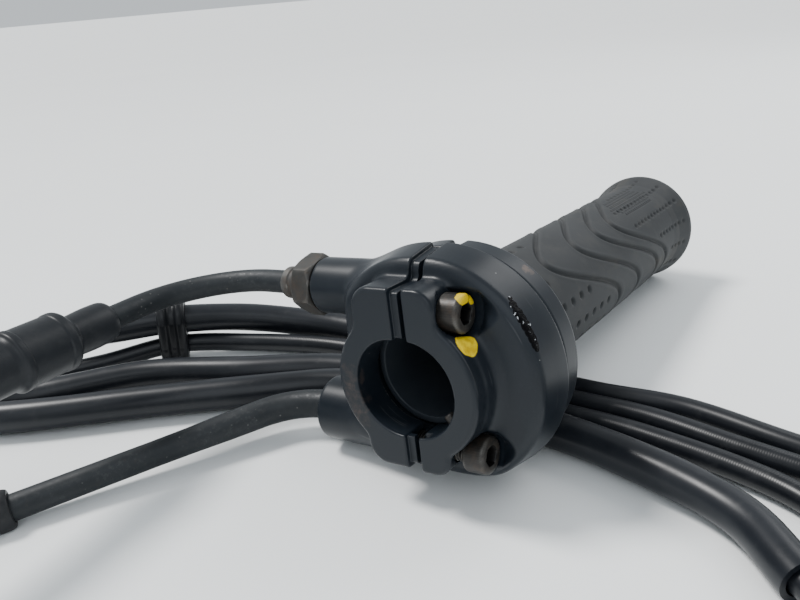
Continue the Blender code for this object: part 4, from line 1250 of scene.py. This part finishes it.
def sleeve(name, replaced, path, start, end, seed):
    """Loose tube over the cable between two laid points, its radius wavering a little."""
    first, last = sorted(nearest_index(path, lay(*point)) for point in (start, end))
    part = path[first:last + 1]
    index = np.arange(len(part))
    drift = np.random.default_rng(seed).normal(size=9)
    waver = 0.05 * np.interp(index, np.linspace(0, len(part), 9), drift)
    to_end = np.minimum(index, index[::-1])
    radii = np.minimum(4.75 + waver - 0.12 + 0.10 * np.exp(-to_end / 2.0), 4.8)
    solid(name, replaced, sweep(part, radii, 28, bore=3.5),
          sheath_face(name + "_face", dark=(0.0065, 0.008, 0.011), pale=(0.013, 0.015, 0.019)),
          sharp=50)


# name, replaced piece, cable, start and end as x, y, lift
SLEEVES = (
    ("pull_sleeve_near", "pull_cable_sleeve_near", pull_path, (10, 130, 10.6), (62.5, 48, 1)),
    ("pull_sleeve_mid", "pull_cable_sleeve_mid", pull_path, (12, -76), (37, -14)),
    ("pull_sleeve_far", "pull_cable_sleeve_far", pull_path, (32, 44), (-31, 124)),
    ("return_sleeve", "return_cable_sleeve", return_path, (41, 42), (-21, 129)))
for seed, row in enumerate(SLEEVES, start=1):
    sleeve(*row, seed=seed)


# ---------------------------------------------------------------------------
# rubber guide: two rims and a waist round the sleeved pull cable and the bare return cable
def crossing(path, at, way):
    """Where a path crosses the plane through a point, nearest to that point."""
    hits = []
    for start, end in zip(path, path[1:]):
        before, after = (start - at) @ way, (end - at) @ way
        if before * after <= 0 and before != after:
            hits.append(start + (end - start) * before / (before - after))
    return min(hits, key=lambda hit: np.linalg.norm(hit - at))


guide_index = nearest_index(pull_path, lay(*GUIDE_AT))
guide_top = pull_path[guide_index]
guide_way = pull_path[guide_index + 1] - pull_path[guide_index - 1]
guide_way /= np.linalg.norm(guide_way)
guide_low = crossing(return_path, guide_top, guide_way)
guide_down = guide_low - guide_top
guide_gap = np.linalg.norm(guide_down)
guide_down /= guide_gap
guide_side = np.cross(guide_way, guide_down)


def guide(x, y, z):
    off = (x - guide_top[0], y - guide_top[1], z - guide_top[2])
    along, down, side = (off[0] * way[0] + off[1] * way[1] + off[2] * way[2]
                         for way in (guide_way, guide_down, guide_side))
    t = np.clip(down / guide_gap, 0, 1)
    radius = 8.1 + (5.9 - 8.1) * t
    out = np.sqrt((down - t * guide_gap) ** 2 + side * side) - radius
    waist = 1.3 * np.exp(-(along / 1.5) ** 4)
    body = common(out + waist, np.abs(along) - 4.5, 2.2)
    body = common(body, -(np.hypot(down, side) - 5.15), 0.3)
    return common(body, -(np.hypot(down - guide_gap, side) - 3.35), 0.3)


dense("cable_guide_rubber", "cable_grommet",
      surface_nets(guide, np.minimum(guide_top, guide_low) - 10.2,
                   np.maximum(guide_top, guide_low) + 10.2, 0.3),
      rubber("guide_rubber_face", dark=(0.006, 0.0068, 0.0085), pale=(0.011, 0.012, 0.014),
             dust=0.08, rough=(0.28, 0.42)))

# ---------------------------------------------------------------------------
# far ends of the cables: ferrule and two nuts, along the joint's direction
FERRULE = soften([(-10.0, 3.4, 0.1), (-10.0, 4.3, 0.3), (2.0, 4.3, 0.3), (2.0, 3.9, 0.1)], 0.2)
FERRULE += rows(2.3, 21.6, 3.9, 0.2) + [(22.0, 3.5), (22.0, 1.3), (0.4, 1.3), (0.4, 3.4)]


def joint_axis(child):
    joint = next(j for j in frame["joints"] if j["child"] == child)
    return np.array(joint["axis"], float)


# prefix, end point, direction, where the bare wire starts and stops along it
CABLE_ENDS = (("pull", pull_path[-1], -joint_axis("pull_wire_end"), 21.6, 49.0),
              ("return", return_path[-1], joint_axis("return_wire_end"), 0.8, 33.0))
for prefix, end, way, _, _ in CABLE_ENDS:
    solid(prefix + "_threaded_ferrule", prefix + "_end_ferrule",
          lathe(FERRULE, 48, way, end,
                shape=threaded(depth=0.45, start=2.3, end=21.6, crest=3.9)),
          zinc(prefix + "_ferrule_zinc"))
    for tag, start in (("a", 6.0), ("b", 13.0)):
        hex_nut(prefix + "_anchor_nut_" + tag, prefix + "_end_nut_" + tag, start=start,
                end=start + 4.5, bore=4.0, flat=5.95, at=end, way=way,
                material=zinc(prefix + "_nut_zinc_" + tag))

# ---------------------------------------------------------------------------
# inner wires
NIPPLE_R = 2.3
PULL_NIPPLE, RETURN_NIPPLE = 132, 160  # degrees round the drum
# degrees between a nipple's centre and the start of its wire
NIPPLE_SPAN = math.degrees(math.asin((NIPPLE_R + 0.3) / 2 / DRUM_R) * 2)


def drum_wire(name, replaced, x, start, end):
    """Plain wire round the drum between two angles in degrees."""
    theta = np.linspace(math.radians(start), math.radians(end), 60)
    arc = np.stack([np.full(60, x), DRUM_R * np.cos(theta), DRUM_R * np.sin(theta)], -1)
    solid(name, replaced, sweep(resample(arc, 0.5), 0.68, 16, up=X_AXIS),
          strand_steel(name + "_steel"), "twist_grip", sharp=0)


def stranded_wire(name, replaced, body, start, end):
    """Straight wire with six outer strands wound round it."""
    path = resample(np.array([start, end]), 0.6)
    twist = 2 * np.pi * distances(path) / 7.0

    def shape(i, theta):
        return 1 - 0.16 * np.abs(np.sin(3 * (theta + twist[i]))) ** 1.5

    solid(name, replaced, sweep(path, 0.7, 24, shape=shape),
          strand_steel(name + "_steel"), body, sharp=0)


drum_wire("pull_wire_on_drum", "pull_wire_wrap", PULL_X, 92.2, PULL_NIPPLE - NIPPLE_SPAN)
drum_wire("return_wire_on_drum", "return_wire_wrap", RETURN_X, RETURN_NIPPLE + NIPPLE_SPAN, 267.8)
stranded_wire("pull_inner_wire", "pull_wire_straight", "pull_wire",
              (PULL_X, 5.0, PULL_Z), (PULL_X, 52.0, PULL_Z))
stranded_wire("return_inner_wire", "return_wire_straight", "return_wire",
              (RETURN_X, 0.6, RETURN_Z), (RETURN_X, 16.0, RETURN_Z))
END_NIPPLE = soften([(-3.5, 0), (-3.5, 3.0, 0.5), (3.5, 3.0, 0.5), (3.5, 0)], 0.4)
for prefix, end, way, start, stop in CABLE_ENDS:
    body = prefix + "_wire_end"
    stranded_wire(prefix + "_end_strands", prefix + "_end_wire", body,
                  end + way * start, end + way * stop)
    solid(prefix + "_barrel_end", prefix + "_end_nipple",
          lathe(END_NIPPLE, 48, np.cross(way, Z_AXIS), end + way * (stop + 3.3)),
          zinc(prefix + "_barrel_zinc"), body)
for prefix, x, angle, left, right in (("pull", PULL_X, PULL_NIPPLE, -1.9, 2.7),
                                      ("return", RETURN_X, RETURN_NIPPLE, -0.9, 1.9)):
    theta = math.radians(angle)
    outline = soften([(left, 0), (left, NIPPLE_R, 0.4), (right, NIPPLE_R, 0.4), (right, 0)], 0.3)
    solid(prefix + "_drum_barrel", prefix + "_drum_nipple",
          lathe(outline, 40, at=(x, DRUM_R * math.cos(theta), DRUM_R * math.sin(theta))),
          zinc(prefix + "_drum_zinc"), "twist_grip")


# ---------------------------------------------------------------------------
# table, world, lights, camera
def add_table(half=40000.0, drop=0.7):
    corners = ((-half, -half), (half, -half), (half, half), (-half, half))
    mesh = bpy.data.meshes.new("table")
    mesh.from_pydata([(x * MM, (y - DATUM_Y) * MM, (table(x, y) - drop) * MM)
                      for x, y in corners], [], [(0, 1, 2, 3)])
    mesh.materials.append(table_top())
    add_object("table", mesh)


def set_world():
    world = bpy.data.worlds.new("soft")
    bpy.context.scene.world = world
    world.use_nodes = True
    background = world.node_tree.nodes["Background"]
    background.inputs["Color"].default_value = (0.78, 0.83, 0.87, 1)
    background.inputs["Strength"].default_value = 0.88


def aim(obj, direction):
    obj.rotation_euler = direction.to_track_quat("-Z", "Y").to_euler()


def add_sun(name, energy, spread, colour, direction):
    light = bpy.data.lights.new(name, "SUN")
    light.energy = energy
    light.angle = spread
    light.color = colour
    aim(add_object(name, light), Vector(direction))


def add_area(name, at, target, size, power, colour=(1, 1, 1)):
    """Square lamp; places and size in metres."""
    light = bpy.data.lights.new(name, "AREA")
    light.shape = "RECTANGLE"
    light.size = light.size_y = size
    light.energy = power
    light.color = colour
    obj = add_object(name, light)
    obj.location = at
    aim(obj, Vector(target) - Vector(at))


def add_camera():
    yaw, pitch, roll = math.radians(35.74), math.radians(-19.31), math.radians(-2.62)
    tilt = math.radians(5.5)  # turns the whole view about X

    def tilted(point):
        x, y, z = point
        return np.array((x, y * math.cos(tilt) - z * math.sin(tilt),
                         y * math.sin(tilt) + z * math.cos(tilt)))

    forward = np.array([math.cos(yaw) * math.cos(pitch), math.sin(yaw) * math.cos(pitch),
                        math.sin(pitch)])
    right = np.cross(forward, Z_AXIS)
    right /= np.linalg.norm(right)
    up = np.cross(right, forward)
    right, up = (right * math.cos(roll) + up * math.sin(roll),
                 -right * math.sin(roll) + up * math.cos(roll))
    forward, right, up = tilted(forward), tilted(right), tilted(up)
    place = tilted((-117.1, -84.5, 71.1)) + np.array((0, -1.45 - DATUM_Y, 0))
    data = bpy.data.cameras.new("camera")
    camera = add_object("camera", data)
    camera.matrix_world = Matrix([*zip(right, up, -forward, place * MM), (0, 0, 0, 1)])
    data.sensor_width = 36.0
    data.lens = 33.606
    data.clip_start = 0.005
    bpy.context.scene.camera = camera


add_table()
set_world()
add_sun("key", energy=3.7, spread=math.radians(16), colour=(1.0, 0.985, 0.97),
        direction=(0.20, -0.50, -0.95))
add_area("fill", at=(-0.7, -0.5, 0.6), target=(0.03, 0.0, 0.0), size=0.8, power=3.0,
         colour=(0.90, 0.95, 1.0))
add_area("rim", at=(0.7, -0.3, 0.7), target=(0.08, 0.0, 0.0), size=0.5, power=3.0)
add_camera()
